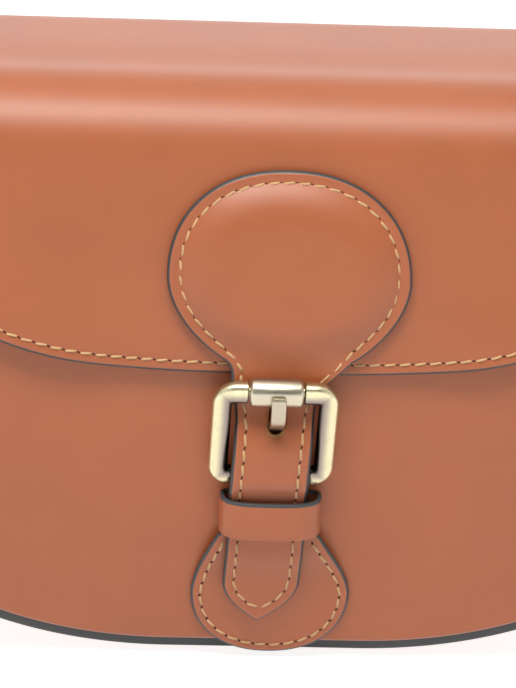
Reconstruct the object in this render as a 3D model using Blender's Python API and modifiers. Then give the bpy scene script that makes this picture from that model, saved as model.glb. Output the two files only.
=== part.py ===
"""Structured leather bag with a front flap, a keyhole tab, and a strap held by a roller buckle.

Metres, +Z up, X to the right seen from the front, the front faces -Y.
The origin is at the middle of the bottom of the whole bag.
"""

import math

import bmesh
import bpy
import numpy as np
from mathutils import Matrix

for old in list(bpy.data.objects):
    bpy.data.objects.remove(old, do_unlink=True)

# Driving dimensions
height = 0.170
half_width = 0.112
depth = 0.075
back_y = 0.0447
belly_z = 0.115
belly_radius = 0.320
base_flat_half = 0.0265
corner_height = 0.049
flap_side_reveal = 0.001
strap_half_width = 0.010
seam_gap = 0.0003

# Facets, and how far a cutter runs past what it cuts
curve_steps = 30
corner_steps = 16
bend_steps = 9
fold_steps = 14
small_steps = 5
round_steps = 24
tab_columns = 28
tab_rows = 24
pad_cells = 14
cast_resolution = 6
wire_resolution = 4
sharp_angle = math.radians(35)
overrun = 0.006
weld_distance = 0.000001

belly_y = back_y - depth

# Levels of the closure, from the buckle's lower bar up, and of the mouth of the bag
chape_bar_share = 0.3353
buckle_rise = 0.0249
flap_edge_rise = 0.0026
mouth_drop = 0.036
back_mouth_drop = 0.018
chape_bar_z = height * chape_bar_share
roller_z = chape_bar_z + buckle_rise
flap_edge_z = roller_z + flap_edge_rise
flap_half_width = half_width - flap_side_reveal
front_mouth_z = height - mouth_drop
back_mouth_z = height - back_mouth_drop

bag = bpy.data.collections.new("leather_bag")
cutters = bpy.data.collections.new("cutters")
bpy.context.scene.collection.children.link(bag)
bpy.context.scene.collection.children.link(cutters)
cutters.hide_render = True

tan = (0.46, 0.16, 0.065)
dark_edge = (0.06, 0.055, 0.05)
suede = (0.33, 0.21, 0.13)
brass = (0.62, 0.50, 0.27)
foam = (0.75, 0.72, 0.66)
metal = {"colour": brass, "metallic": 1, "roughness": 0.35}


def on_front(z, out):
    """The (y, z) point that stands `out` off the outer face of the front panel at height z."""
    lean = (z - belly_z) / belly_radius
    length = math.hypot(1, lean)
    y = belly_y + (z - belly_z) * lean / 2
    return y - out / length, z + out * lean / length


def front_lean(z):
    """The angle about X that stands an upright piece along the front panel at height z."""
    return math.atan((belly_z - z) / belly_radius)


def ramp(z, start, end):
    """An even rise from 0 at the start to 1 at the end."""
    t = min(max((z - start) / (end - start), 0), 1)
    return t * t * (3 - 2 * t)


def material(name, colour, metallic, roughness):
    made = bpy.data.materials.new(name)
    made.use_nodes = True
    shader = made.node_tree.nodes["Principled BSDF"]
    shader.inputs["Base Color"].default_value = (*colour, 1)
    shader.inputs["Metallic"].default_value = metallic
    shader.inputs["Roughness"].default_value = roughness
    made.diffuse_color = (*colour, 1)
    return made


def place(name, mesh, colour=None, metallic=0.0, roughness=0.5):
    """A piece of the bag with its own material, or a hidden cutter where no colour is given."""
    obj = bpy.data.objects.new(name, mesh)
    if colour is None:
        cutters.objects.link(obj)
        obj.hide_render = True
        obj.display_type = "WIRE"
    else:
        bag.objects.link(obj)
        mesh.materials.append(material(name, colour, metallic, roughness))
        mesh.shade_smooth()
        mesh.set_sharp_from_angle(angle=sharp_angle)
    return obj


def made_solid(guide, **look):
    """A guide's evaluated shape as a piece in its place, welded and facing outwards. The guide is removed."""
    bpy.context.scene.collection.objects.link(guide)
    graph = bpy.context.evaluated_depsgraph_get()
    mesh = bpy.data.meshes.new_from_object(guide.evaluated_get(graph))
    bm = bmesh.new()
    bm.from_mesh(mesh)
    bmesh.ops.remove_doubles(bm, verts=bm.verts, dist=weld_distance)
    bmesh.ops.recalc_face_normals(bm, faces=bm.faces)
    bm.to_mesh(mesh)
    bm.free()
    name = guide.name
    where = guide.matrix_world.copy()
    bpy.data.objects.remove(guide, do_unlink=True)
    piece = place(name, mesh, **look)
    piece.matrix_world = where
    return piece


drawn_along = {
    "X": Matrix(((0, 0, 1, 0), (1, 0, 0, 0), (0, 1, 0, 0), (0, 0, 0, 1))),
    "Y": Matrix(((1, 0, 0, 0), (0, 0, -1, 0), (0, 1, 0, 0), (0, 0, 0, 1))),
    "Z": Matrix.Identity(4),
}


def slab(name, outline, axis, low, high, **look):
    """A flat outline with thickness along one axis. The outline is in the other two, in the order x, y, z."""
    curve = bpy.data.curves.new(name, "CURVE")
    curve.dimensions = "2D"
    curve.fill_mode = "BOTH"
    curve.extrude = (high - low) / 2
    spline = curve.splines.new("POLY")
    spline.points.add(len(outline) - 1)
    for point, (first, second) in zip(spline.points, outline):
        point.co = (first, second, 0, 1)
    spline.use_cyclic_u = True
    guide = bpy.data.objects.new(name, curve)
    middle = [(low + high) / 2 if letter == axis else 0 for letter in "XYZ"]
    guide.matrix_world = Matrix.Translation(middle) @ drawn_along[axis]
    return made_solid(guide, **look)


def turned(name, profile, **look):
    """A profile of (x, radius) turned about the X axis. A profile that starts off the axis is closed."""
    mesh = bpy.data.meshes.new(name)
    edges = [(i, i + 1) for i in range(len(profile) - 1)]
    if profile[0][1] > 0:
        edges.append((len(profile) - 1, 0))
    mesh.from_pydata([(x, 0, radius) for x, radius in profile], edges, [])
    guide = bpy.data.objects.new(name, mesh)
    screw = guide.modifiers.new("turn", "SCREW")
    screw.axis = "X"
    screw.steps = round_steps
    screw.render_steps = round_steps
    screw.use_merge_vertices = True
    screw.merge_threshold = weld_distance
    return made_solid(guide, **look)


def round_bar(name, path, resolution, **look):
    """A closed round bar. Each point of the path is (x, y, z, radius of the bar there)."""
    curve = bpy.data.curves.new(name, "CURVE")
    curve.dimensions = "3D"
    curve.bevel_depth = 1
    curve.bevel_resolution = resolution
    spline = curve.splines.new("POLY")
    spline.points.add(len(path) - 1)
    for point, (x, y, z, radius) in zip(spline.points, path):
        point.co = (x, y, z, 1)
        point.radius = radius
    spline.use_cyclic_u = True
    return made_solid(bpy.data.objects.new(name, curve), **look)


def moulded(name, half_x, z_low, z_high, inner, outer, columns, rows, **look):
    """A sheet on the front of the bag whose two faces stand off it by inner(x, z) and outer(x, z)."""
    bm = bmesh.new()
    grid = bmesh.ops.create_grid(bm, x_segments=columns, y_segments=rows, size=1)["verts"]
    drawn = bmesh.ops.extrude_face_region(bm, geom=list(bm.faces))
    front = {v for v in drawn["geom"] if isinstance(v, bmesh.types.BMVert)}
    for vert in grid + list(front):
        x = half_x * vert.co.x
        z = z_low + (z_high - z_low) * (vert.co.y + 1) / 2
        out = outer(x, z) if vert in front else inner(x, z)
        vert.co = (x, *on_front(z, out))
    bmesh.ops.recalc_face_normals(bm, faces=bm.faces)
    mesh = bpy.data.meshes.new(name)
    bm.to_mesh(mesh)
    bm.free()
    return place(name, mesh, **look)


def cut(obj, cutter, operation="DIFFERENCE"):
    modifier = obj.modifiers.new(cutter.name, "BOOLEAN")
    modifier.operation = operation
    modifier.solver = "EXACT"
    modifier.object = cutter


def keep(obj, cutter):
    cut(obj, cutter, "INTERSECT")


def arc(centre, radius, start, end, steps):
    """Points on a circle, from one angle to another in degrees, with both ends."""
    angles = np.radians(np.linspace(start, end, steps + 1))
    return [(centre[0] + radius * math.cos(a), centre[1] + radius * math.sin(a)) for a in angles]


def circle(radius):
    return arc((0, 0), radius, 0, 360, round_steps)[:-1]


def both_sides(half):
    """A right half, listed from the bottom up, with its mirrored left half before it."""
    return [(-x, z) for x, z in reversed(half)] + half


def normals_of(points):
    """The unit normals on the left of a path, seen along it."""
    along = np.gradient(np.array(points), axis=0)
    along /= np.linalg.norm(along, axis=1)[:, None]
    return np.stack([-along[:, 1], along[:, 0]], axis=1)


def ribbon(points, low, high):
    """The outline of a strip that follows the path, from `low` to `high` off its left side."""
    spots = np.array(points)
    sides = normals_of(points)
    far = (spots + sides * high)[::-1]
    return [tuple(p) for p in spots + sides * low] + [tuple(p) for p in far]


# Body outline, seen from the front: a flat base, elliptical corners and upright sides
def body_half(inset, top):
    corner_width = half_width - base_flat_half
    half = []
    for a in np.radians(np.linspace(0, 90, corner_steps + 1)):
        x = base_flat_half + corner_width * math.sin(a)
        z = corner_height * (1 - math.cos(a))
        out_x = corner_height * math.sin(a)
        out_z = -corner_width * math.cos(a)
        length = math.hypot(out_x, out_z)
        half.append((x - inset * out_x / length, z - inset * out_z / length))
    half.append((half_width - inset, top))
    return half


def body_plate(inset, top):
    return both_sides(body_half(inset, top))


def body_ring(outer_inset, inner_inset, top):
    return body_plate(outer_inset, top) + body_plate(inner_inset, top)[::-1]


past_sides = half_width + overrun
past_front_and_back = (belly_y - depth, back_y + depth)

# Front and back panels with the painted welts and the linings behind them
panel_thickness = 0.0020
welt_reveal = 0.0019
welt_width = 0.0040
welt_thickness = 0.0020
lining_thickness = 0.0008
gusset_back_drop = 0.002
gusset_back_z = back_mouth_z - gusset_back_drop
welt_start = panel_thickness + seam_gap
welt_end = welt_start + welt_thickness
lining_end = welt_start + lining_thickness
lining_inset = welt_width + seam_gap


def front_layer(name, near, far, outline, **look):
    """A layer of the front, from `near` to `far` behind its outer face, cut to an outline."""
    heights = np.linspace(-overrun, front_mouth_z, curve_steps)
    side = [on_front(z, -near) for z in heights] + [on_front(z, -far) for z in heights[::-1]]
    piece = slab(name, side, "X", -past_sides, past_sides, **look)
    keep(piece, slab(f"{name}_outline", outline, "Y", *past_front_and_back))
    return piece


front_layer("front_panel", 0, panel_thickness, body_plate(welt_reveal, height), colour=tan)
front_layer("front_welt", welt_start, welt_end, body_ring(0, welt_width, height), colour=dark_edge)
front_layer("front_lining", welt_start, lining_end, body_plate(lining_inset, height), colour=suede)

slab(
    "back_panel",
    body_plate(welt_reveal, back_mouth_z),
    "Y",
    back_y - panel_thickness,
    back_y,
    colour=tan,
)
slab(
    "back_welt",
    body_ring(0, welt_width, gusset_back_z),
    "Y",
    back_y - welt_end,
    back_y - welt_start,
    colour=dark_edge,
)
slab(
    "back_lining",
    body_plate(lining_inset, gusset_back_z),
    "Y",
    back_y - lining_end,
    back_y - welt_start,
    colour=suede,
)

# Flap, seen from the side: up the front, round a soft bend, over the sloping top and down the back
flap_leather = 0.0018
flap_gap = 0.0004
front_bend_radius = 0.020
back_bend_radius = 0.010
top_slope = math.radians(9)
hinge_gap = 0.0006
axis_behind_back = 0.0005
flap_lining_inset = 0.0010
flap_edge_power = 3.2
flap_thickness = lining_thickness + seam_gap + flap_leather


def bend(path, radius, start, end):
    """The path, carried on round a bend to the right from one heading to another."""
    y, z = path[-1]
    for angle in np.linspace(start, end, bend_steps + 1)[1:]:
        across = radius * (math.sin(start) - math.sin(angle))
        up = radius * (math.cos(angle) - math.cos(start))
        path.append((y + across, z + up))


def flap_path(bend_start):
    """The flap's inner face from below the base to its root, and the index where the top ends."""
    path = [on_front(z, flap_gap) for z in np.linspace(-overrun, bend_start, curve_steps)]
    bend(path, front_bend_radius, math.pi / 2 + front_lean(bend_start), top_slope)
    y, z = path[-1]
    reach = back_y - flap_thickness - back_bend_radius * (1 + math.sin(top_slope))
    path.append((reach, z + (reach - y) * math.tan(top_slope)))
    top_end = len(path)
    bend(path, back_bend_radius, top_slope, -math.pi / 2)
    path.append((back_y - flap_thickness, back_mouth_z + hinge_gap))
    return path, top_end


bend_z = front_mouth_z
for _ in range(curve_steps):
    highest = max(z for _, z in flap_path(bend_z)[0])
    bend_z += height - flap_thickness - highest
flap_inner, flap_top_end = flap_path(bend_z)


def flap_outline(inset):
    rise = height - flap_edge_z - inset
    reach = flap_half_width - inset
    half = []
    for share in np.sin(np.linspace(0, math.pi / 2, curve_steps))[1:]:
        up = 1 - (1 - share**flap_edge_power) ** (1 / flap_edge_power)
        half.append((reach * share, flap_edge_z + inset + rise * up))
    half.append((reach, height + overrun))
    return both_sides(half)


def flap_layer(name, low, high, inset, **look):
    piece = slab(name, ribbon(flap_inner, low, high), "X", -past_sides, past_sides, **look)
    keep(piece, slab(f"{name}_outline", flap_outline(inset), "Y", *past_front_and_back))
    return piece


flap = flap_layer("flap", lining_thickness + seam_gap, flap_thickness, 0, colour=tan)
flap_lining = flap_layer("flap_lining", 0, lining_thickness, flap_lining_inset, colour=suede)

# Gusset and its lining: one strip round the sides and the base, trimmed to the side view of the bag
gusset_thickness = 0.0018
gusset_drop_length = 0.018
gusset_start = welt_end + seam_gap
gusset_lining_outer = max(welt_reveal + gusset_thickness, welt_width) + seam_gap
gusset_drop_y = back_y - gusset_drop_length

under_flap = np.array(flap_inner) - normals_of(flap_inner) * (gusset_start + flap_gap)
gusset_side = [tuple(p) for p in under_flap[:flap_top_end] if p[0] < gusset_drop_y]
last_y, last_z = gusset_side[-1]
gusset_side += [
    (gusset_drop_y, last_z + (gusset_drop_y - last_y) * math.tan(top_slope)),
    (back_y - gusset_start, gusset_back_z),
    (back_y - gusset_start, -overrun),
]
gusset_trim = slab("gusset_trim", gusset_side, "X", -past_sides, past_sides)


def gusset_layer(name, outer_inset, thickness, **look):
    ring = body_ring(outer_inset, outer_inset + thickness, height)
    piece = slab(name, ring, "Y", *past_front_and_back, **look)
    keep(piece, gusset_trim)
    return piece


gusset = gusset_layer("gusset", welt_reveal, gusset_thickness, colour=tan)
gusset_lining = gusset_layer("gusset_lining", gusset_lining_outer, lining_thickness, colour=suede)

# Where each layer of the closure stands off the front panel
strap_thickness = 0.0026
strap_gap = 0.0004
chape_leather = 0.0016
keeper_leather = 0.0014
chape_bar_radius = 0.0014
bar_clearance = 0.0003
roller_radius = 0.0036
tab_inner = flap_gap + flap_thickness + seam_gap
tab_outer = tab_inner + strap_thickness
roller_out = tab_outer + seam_gap + roller_radius
fold_inner = chape_bar_radius + bar_clearance
fold_outer = fold_inner + chape_leather
fold_middle = (fold_inner + fold_outer) / 2
chape_bar_out = fold_outer + 2 * seam_gap
patch_middle = seam_gap + chape_leather / 2
neck_middle = 2 * seam_gap + keeper_leather + chape_leather / 2
strap_low = patch_middle + chape_leather / 2 + strap_gap
strap_keeper = neck_middle + chape_leather / 2 + strap_gap
strap_bar = chape_bar_out + fold_outer + strap_gap
bar_y, bar_up = on_front(chape_bar_z, chape_bar_out)
axle_y, axle_up = on_front(roller_z, roller_out)

# Keyhole tab: an oval that narrows through two hollow curves into the strap
tab_widest_rise = 0.0259
tab_half_width = 0.0322
tab_top_drop = 0.0310
tab_low_half = 0.0271
tab_high_power = 2.22
tab_low_power = 1.75
neck_radius = 0.0258
neck_end_drop = 0.0100
neck_leave_share = 0.86
split_rise = 0.0014
tab_widest_z = flap_edge_z + tab_widest_rise
tab_top_z = height - tab_top_drop
neck_end_z = roller_z - neck_end_drop
split_z = flap_edge_z + split_rise
neck_centre = (strap_half_width + neck_radius, neck_end_z)


def tab_half():
    """The right half of the keyhole, from the strap up to the middle of its top."""
    leave_z = tab_widest_z - tab_low_half * neck_leave_share
    turn = 180 - math.degrees(math.asin((leave_z - neck_end_z) / neck_radius))
    half = arc(neck_centre, neck_radius, 180, turn, bend_steps)
    for angle in np.linspace(0, math.pi / 2, corner_steps + 1):
        x = tab_half_width * math.sin(angle) ** (2 / tab_low_power)
        z = tab_widest_z - tab_low_half * math.cos(angle) ** (2 / tab_low_power)
        if z > leave_z and x > half[-1][0]:
            half.append((x, z))
    rise = tab_top_z - tab_widest_z
    for angle in np.linspace(math.pi / 2, 0, corner_steps + 1)[1:-1]:
        across = math.sin(angle) ** (2 / tab_high_power)
        up = math.cos(angle) ** (2 / tab_high_power)
        half.append((tab_half_width * across, tab_widest_z + rise * up))
    return half


# Padding raises the middle of the tab
dome_height = 0.0030
dome_half_width = 0.0280
dome_rise = 0.0008
dome_reach_share = 0.8633
pad_share = 0.84
dome_z = tab_widest_z + dome_rise
dome_half_height = (tab_top_z - dome_z) * dome_reach_share


def dome(x, z):
    spread = (x / dome_half_width) ** 2 + ((z - dome_z) / dome_half_height) ** 2
    return dome_height * max(1 - spread**2, 0) ** 2


closure_tab = moulded(
    "closure_tab",
    tab_half_width + overrun,
    split_z + seam_gap,
    tab_top_z + overrun,
    lambda x, z: tab_inner + dome(x, z),
    lambda x, z: tab_outer + dome(x, z),
    tab_columns,
    tab_rows,
    colour=tan,
)
tab_outline = both_sides(tab_half()) + [(0, tab_top_z)]
keep(closure_tab, slab("tab_outline", tab_outline, "Y", *past_front_and_back))

pad_outline = [
    (dome_half_width * pad_share * x, dome_z + dome_half_height * pad_share * z) for x, z in circle(1)
]
tab_padding = moulded(
    "tab_padding",
    dome_half_width,
    dome_z - dome_half_height,
    dome_z + dome_half_height,
    lambda x, z: tab_inner,
    lambda x, z: tab_inner + max(dome(x, z) - 2 * seam_gap, seam_gap),
    pad_cells,
    pad_cells,
    colour=foam,
)
keep(tab_padding, slab("padding_outline", pad_outline, "Y", *past_front_and_back))

# Keeper: a closed leather loop round the neck of the patch and the strap
keeper_drop = 0.0075
keeper_width = 0.0103
keeper_half_width = 0.0137
keeper_corner = 0.0024
keeper_high_z = chape_bar_z - keeper_drop
keeper_low_z = keeper_high_z - keeper_width
keeper_z =(keeper_low_z + keeper_high_z) / 2
keeper_half_height = (keeper_high_z - keeper_low_z) / 2
keeper_out = strap_keeper + strap_thickness + strap_gap + keeper_leather


def loop_section(shrink):
    """A rectangle with round corners, in x and y, that stands off the front like the keeper."""
    radius = keeper_corner - shrink
    x = keeper_half_width - shrink - radius
    near = -(seam_gap + shrink + radius)
    far = -(keeper_out - shrink - radius)
    section = []
    for centre, start in (((x, near), 90), ((x, far), 0), ((-x, far), -90), ((-x, near), -180)):
        section += arc(centre, radius, start, start - 90, bend_steps // 2)
    return section


def stand_on_front(obj, z):
    y, up = on_front(z, 0)
    obj.location = (0, y, up)
    obj.rotation_euler = (front_lean(z), 0, 0)


keeper = slab("keeper", loop_section(0), "Z", -keeper_half_height, keeper_half_height, colour=tan)
keeper_inside = slab(
    "keeper_inside",
    loop_section(keeper_leather),
    "Z",
    -keeper_half_height - overrun,
    keeper_half_height + overrun,
)
stand_on_front(keeper, keeper_z)
stand_on_front(keeper_inside, keeper_z)
cut(keeper, keeper_inside)

# Chape: a drop-shaped patch whose neck runs up under the strap, folds round the buckle and turns back
patch_neck_drop = 0.0034
patch_widest_share = 0.5196
patch_close = math.radians(53)
patch_half_width = 0.0208
patch_base_gap = 0.0030
chape_half_width = 0.0100
chape_neck_half = 0.0117
neck_step_length = 0.0013
keeper_lead = 0.0032
patch_rise_length = 0.0100
fold_lead = 0.0005
return_lead = 0.0012
patch_neck_z = keeper_low_z - patch_neck_drop
patch_widest_z = patch_neck_z * patch_widest_share
patch_low_half = patch_widest_z - patch_base_gap
rise_end_z = keeper_low_z - keeper_lead
rise_start_z = rise_end_z - patch_rise_length


def chape_out(z):
    """How far the middle of the chape's leather stands off the front panel, up to the bar."""
    step = (neck_middle - patch_middle) * ramp(z, rise_start_z, rise_end_z)
    fold = chape_bar_out + fold_middle - neck_middle
    return patch_middle + step + fold * ramp(z, keeper_high_z + fold_lead, chape_bar_z)


chape_path = [(z, chape_out(z)) for z in np.linspace(-overrun, chape_bar_z, 2 * curve_steps)[:-1]]
for out, up in arc((0, 0), fold_middle, 0, 180, fold_steps):
    chape_path.append((chape_bar_z + up, chape_bar_out + out))
turned_out = chape_bar_out - fold_middle
return_length = chape_bar_z - keeper_high_z - return_lead
for share in np.linspace(0, 1, small_steps)[1:]:
    out = turned_out + (patch_middle - turned_out) * share
    chape_path.append((chape_bar_z - return_length * share, out))


def patch_outline():
    half = []
    for angle in np.linspace(0, math.pi / 2, corner_steps // 2 + 1)[1:]:
        x = patch_half_width * math.sin(angle)
        half.append((x, patch_widest_z - patch_low_half * math.cos(angle)))
    for share in np.linspace(0, 1, corner_steps // 2 + 1)[1:]:
        x = patch_half_width * math.cos(patch_close * share)
        half.append((x, patch_widest_z + (patch_neck_z - patch_widest_z) * share))
    half.append((chape_neck_half, patch_neck_z + neck_step_length))
    half.append((chape_neck_half, keeper_z))
    half.append((chape_half_width, keeper_high_z))
    half.append((chape_half_width, belly_z))
    left = [(-x, z) for x, z in reversed(half)]
    return left + [(0, patch_widest_z - patch_low_half)] + half


chape_line = [on_front(z, out) for z, out in chape_path]
chape_side = ribbon(chape_line, -chape_leather / 2, chape_leather / 2)
chape_patch = slab("chape_patch", chape_side, "X", -past_sides, past_sides, colour=tan)
keep(chape_patch, slab("chape_outline", patch_outline(), "Y", *past_front_and_back))

# Strap: doubled leather that goes under the roller, over the lower bar and down through the keeper
strap_tip_share = 0.785
strap_tip_length = 0.0106
strap_tip_z = patch_widest_z * strap_tip_share
strap_shoulder_z = strap_tip_z + strap_tip_length
tip_power = 1.7
neck_sweep = 50
bar_rise_length = 0.0072
roller_fall_length = 0.0163
fall_end_z = roller_z - strap_thickness
fall_start_z = fall_end_z - roller_fall_length


def strap_out(z):
    """How far the strap's inner face stands off the front panel."""
    on_keeper = (strap_keeper - strap_low) * ramp(z, rise_start_z, rise_end_z)
    on_bar = (strap_bar - strap_keeper) * ramp(z, chape_bar_z - bar_rise_length, chape_bar_z)
    to_tab = (tab_inner - strap_bar) * ramp(z, fall_start_z, fall_end_z)
    return strap_low + on_keeper + on_bar + to_tab


def strap_outline():
    half = []
    for share in np.linspace(0, 1, bend_steps)[1:]:
        z = strap_tip_z + (strap_shoulder_z - strap_tip_z) * share
        half.append((strap_half_width * (1 - (1 - share) ** tip_power), z))
    half += arc(neck_centre, neck_radius, 180, 180 - neck_sweep, bend_steps)
    left = [(-x, z) for x, z in reversed(half)]
    return left + [(0, strap_tip_z)] + half


strap_heights = np.linspace(strap_tip_z - overrun, split_z - seam_gap, 2 * curve_steps)
strap_side = ribbon([on_front(z, strap_out(z)) for z in strap_heights], 0, strap_thickness)
strap = slab("strap", strap_side, "X", -past_sides, past_sides, colour=tan)
keep(strap, slab("strap_outline", strap_outline(), "Y", *past_front_and_back))

# Buckle frame: one cast ring, thin at the lower bar and at the roller's axle
axle_radius = 0.0016
frame_bar_x = 0.0141
frame_side_radius = 0.0022
frame_shoulder_radius = 0.0028
frame_high_corner = 0.0034
frame_low_corner = 0.0027
frame_flat_share = 0.85
shoulder_step = 0.0004
chape_bar_half = 0.0104
roller_length = 0.0140
axle_half = roller_length / 2 + seam_gap
frame_height = math.hypot(axle_y - bar_y, axle_up - bar_up)
frame_tilt = math.atan2(bar_y - axle_y, axle_up - bar_up)

frame_half = [
    (0, 0, chape_bar_radius),
    (chape_bar_half, 0, chape_bar_radius),
    (chape_bar_half + shoulder_step, 0, frame_side_radius),
]
low_centre = (frame_bar_x - frame_low_corner, frame_low_corner)
for x, z in arc(low_centre, frame_low_corner, -90, 0, small_steps)[1:]:
    frame_half.append((x, z, frame_side_radius))
frame_half.append((frame_bar_x, frame_height / 2, frame_side_radius))
corner_centre = (frame_bar_x - frame_high_corner, frame_height - frame_high_corner)
swell = (frame_shoulder_radius - frame_side_radius) / bend_steps
for k, (x, z) in enumerate(arc(corner_centre, frame_high_corner, 0, 90, bend_steps)):
    frame_half.append((x, z, frame_side_radius + swell * k))
frame_half += [
    (axle_half + shoulder_step, frame_height, frame_shoulder_radius),
    (axle_half, frame_height, axle_radius),
    (0, frame_height, axle_radius),
]
frame_path = [(x, 0, z, radius) for x, z, radius in frame_half]
frame_path += [(-x, 0, z, radius) for x, z, radius in reversed(frame_half[1:-1])]
buckle_frame = round_bar("buckle_frame", frame_path, cast_resolution, **metal)
buckle_frame.location = (0, bar_y, bar_up)
buckle_frame.rotation_euler = (frame_tilt, 0, 0)
buckle_frame.scale = (1, frame_flat_share, 1)

# Roller: a short tube, free on the frame's upper bar
roller_clearance = 0.0004
roller_chamfer = 0.0007
roller_half = roller_length / 2
bore_radius = axle_radius + roller_clearance
end_radius = roller_radius - roller_chamfer
roller_right = [
    (roller_half - roller_chamfer, roller_radius),
    (roller_half, end_radius),
    (roller_half, bore_radius),
]
roller_profile = [(-x, radius) for x, radius in reversed(roller_right)] + roller_right
roller = turned("roller", roller_profile, **metal)
roller.location = (0, axle_y, axle_up)

# Prong: a bent bar with an eye round the lower bar, up through the strap hole, its tip on the roller
prong_half_width = 0.0018
prong_thickness = 0.0022
prong_eye_wall = 0.0012
slot_clearance = 0.0007
hole_clearance = 0.0005
hole_drop = 0.0117
hole_length = 0.0039
hole_high_z = roller_z - hole_drop
hole_low_z = hole_high_z - hole_length
eye_inner = chape_bar_radius + bar_clearance
eye_outer = eye_inner + prong_eye_wall
prong_length = roller_z - chape_bar_z
prong_rise = roller_out + roller_radius + seam_gap + prong_thickness / 2 - chape_bar_out
prong_up_shares = (0, 0.115, 0.229, 0.336, 0.42, 0.534, 0.649, 0.771, 0.893, 1)
prong_out_shares = (0, 0.034, 0.069, 0.112, 0.216, 0.474, 0.725, 0.905, 0.99, 1)

prong_line = []
for up, out in zip(prong_up_shares, prong_out_shares):
    y, z = on_front(chape_bar_z + prong_length * up, chape_bar_out + prong_rise * out)
    prong_line.append((y - bar_y, z - bar_up))
prong_side = ribbon(prong_line, -prong_thickness / 2, prong_thickness / 2)
prong_x = (-prong_half_width, prong_half_width)
prong = slab("prong", prong_side, "X", *prong_x, **metal)
prong_eye = slab("prong_eye", circle(eye_outer), "X", *prong_x)
prong_bore = slab("prong_bore", circle(eye_inner), "X", -strap_half_width, strap_half_width)
for piece in (prong, prong_eye, prong_bore):
    piece.location = (0, bar_y, bar_up)
cut(prong, prong_eye, "UNION")
cut(prong, prong_bore)

slot_half = prong_half_width + slot_clearance
slot_low = bar_up - eye_outer - slot_clearance
slot_high = bar_up + fold_outer + overrun
slot = [(-slot_half, slot_low), (slot_half, slot_low), (slot_half, slot_high), (-slot_half, slot_high)]
cut(chape_patch, slab("prong_slot", slot, "Y", *past_front_and_back))

hole_half = prong_half_width + hole_clearance
hole = arc((0, hole_high_z), hole_half, 0, 180, bend_steps)
hole += arc((0, hole_low_z), hole_half, 180, 360, bend_steps)
cut(strap, slab("strap_hole", hole, "Y", *past_front_and_back))

# Side tab, D-ring and rivet for a shoulder strap, one set at each end of the bag
side_tab_half = 0.0080
side_tab_leather = 0.0016
side_tab_end_length = 0.0105
side_tab_close = 0.0100
ring_wire = 0.0015
ring_bar_drop = 0.0090
ring_half_width = 0.0115
ring_corner = 0.0030
ring_drop = 0.0155
ring_hang = math.radians(10)
rivet_drop = 0.0245
rivet_shank = 0.0014
rivet_head = 0.0036
rivet_head_height = 0.0010
rivet_clearance = 0.0003
rivet_edge_share = 0.8
rivet_crown_share = 0.4
ring_bar_z = back_mouth_z - ring_bar_drop
rivet_z = ring_bar_z - rivet_drop
side_tab_low_z = rivet_z - side_tab_end_length

side_x = half_width - welt_reveal
side_tab_y = (back_y + belly_y) / 2
side_fold = ring_wire + bar_clearance + side_tab_leather / 2
tab_back_x = side_x + seam_gap + side_tab_leather / 2
tab_front_x = tab_back_x + side_tab_leather + seam_gap
ring_bar_x = tab_back_x + side_fold

tab_line = [(tab_back_x, side_tab_low_z), (tab_back_x, rivet_z)]
tab_line += arc((ring_bar_x, ring_bar_z), side_fold, 180, 0, fold_steps)
bulge = ring_bar_x + side_fold - tab_front_x
for z in np.linspace(ring_bar_z, ring_bar_z - side_tab_close, bend_steps)[1:]:
    tab_line.append((tab_front_x + bulge * ramp(z, ring_bar_z - side_tab_close, ring_bar_z), z))
tab_line += [(tab_front_x, rivet_z), (tab_front_x, side_tab_low_z)]
tab_section = ribbon(tab_line, -side_tab_leather / 2, side_tab_leather / 2)

ring_half = arc((ring_half_width - ring_corner, -ring_corner), ring_corner, 90, 0, small_steps)
for a in np.linspace(0, math.pi / 2, bend_steps + 1)[1:-1]:
    ring_half.append((ring_half_width * math.cos(a), -ring_corner - ring_drop * math.sin(a)))
ring_path = [(0, y, z, ring_wire) for y, z in ring_half]
ring_path.append((0, 0, -ring_corner - ring_drop, ring_wire))
ring_path += [(0, -y, z, ring_wire) for y, z in reversed(ring_half)]

rivet_start = half_width - gusset_lining_outer - lining_thickness - seam_gap - rivet_head_height
rivet_end = tab_front_x + side_tab_leather / 2 + seam_gap
rivet_profile = [
    (rivet_start, 0),
    (rivet_start, rivet_head * rivet_edge_share),
    (rivet_start + rivet_head_height, rivet_head),
    (rivet_start + rivet_head_height, rivet_shank),
    (rivet_end, rivet_shank),
    (rivet_end, rivet_head),
    (rivet_end + rivet_head_height / 2, rivet_head * rivet_edge_share),
    (rivet_end + rivet_head_height, rivet_head * rivet_crown_share),
    (rivet_end + rivet_head_height, 0),
]
rivet_hole = [(side_tab_y + y, rivet_z + z) for y, z in circle(rivet_shank + rivet_clearance)]

for side, word in ((1, "right"), (-1, "left")):
    section = [(side * x, z) for x, z in tab_section]
    low_y = side_tab_y - side_tab_half
    high_y = side_tab_y + side_tab_half
    side_tab = slab(f"side_tab_{word}", section, "Y", low_y, high_y, colour=tan)
    hole_ends = sorted((side * (side_x - depth), side * (side_x + depth)))
    rivet_cutter = slab(f"rivet_hole_{word}", rivet_hole, "X", *hole_ends)
    for piece in (side_tab, gusset, gusset_lining):
        cut(piece, rivet_cutter)
    ring = round_bar(f"d_ring_{word}", ring_path, wire_resolution, **metal)
    ring.location = (side * ring_bar_x, side_tab_y, ring_bar_z)
    ring.rotation_euler = (0, -side * ring_hang, 0)
    profile = [(side * x, radius) for x, radius in rivet_profile]
    rivet = turned(f"rivet_{word}", profile, **metal)
    rivet.location = (0, side_tab_y, rivet_z)

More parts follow.
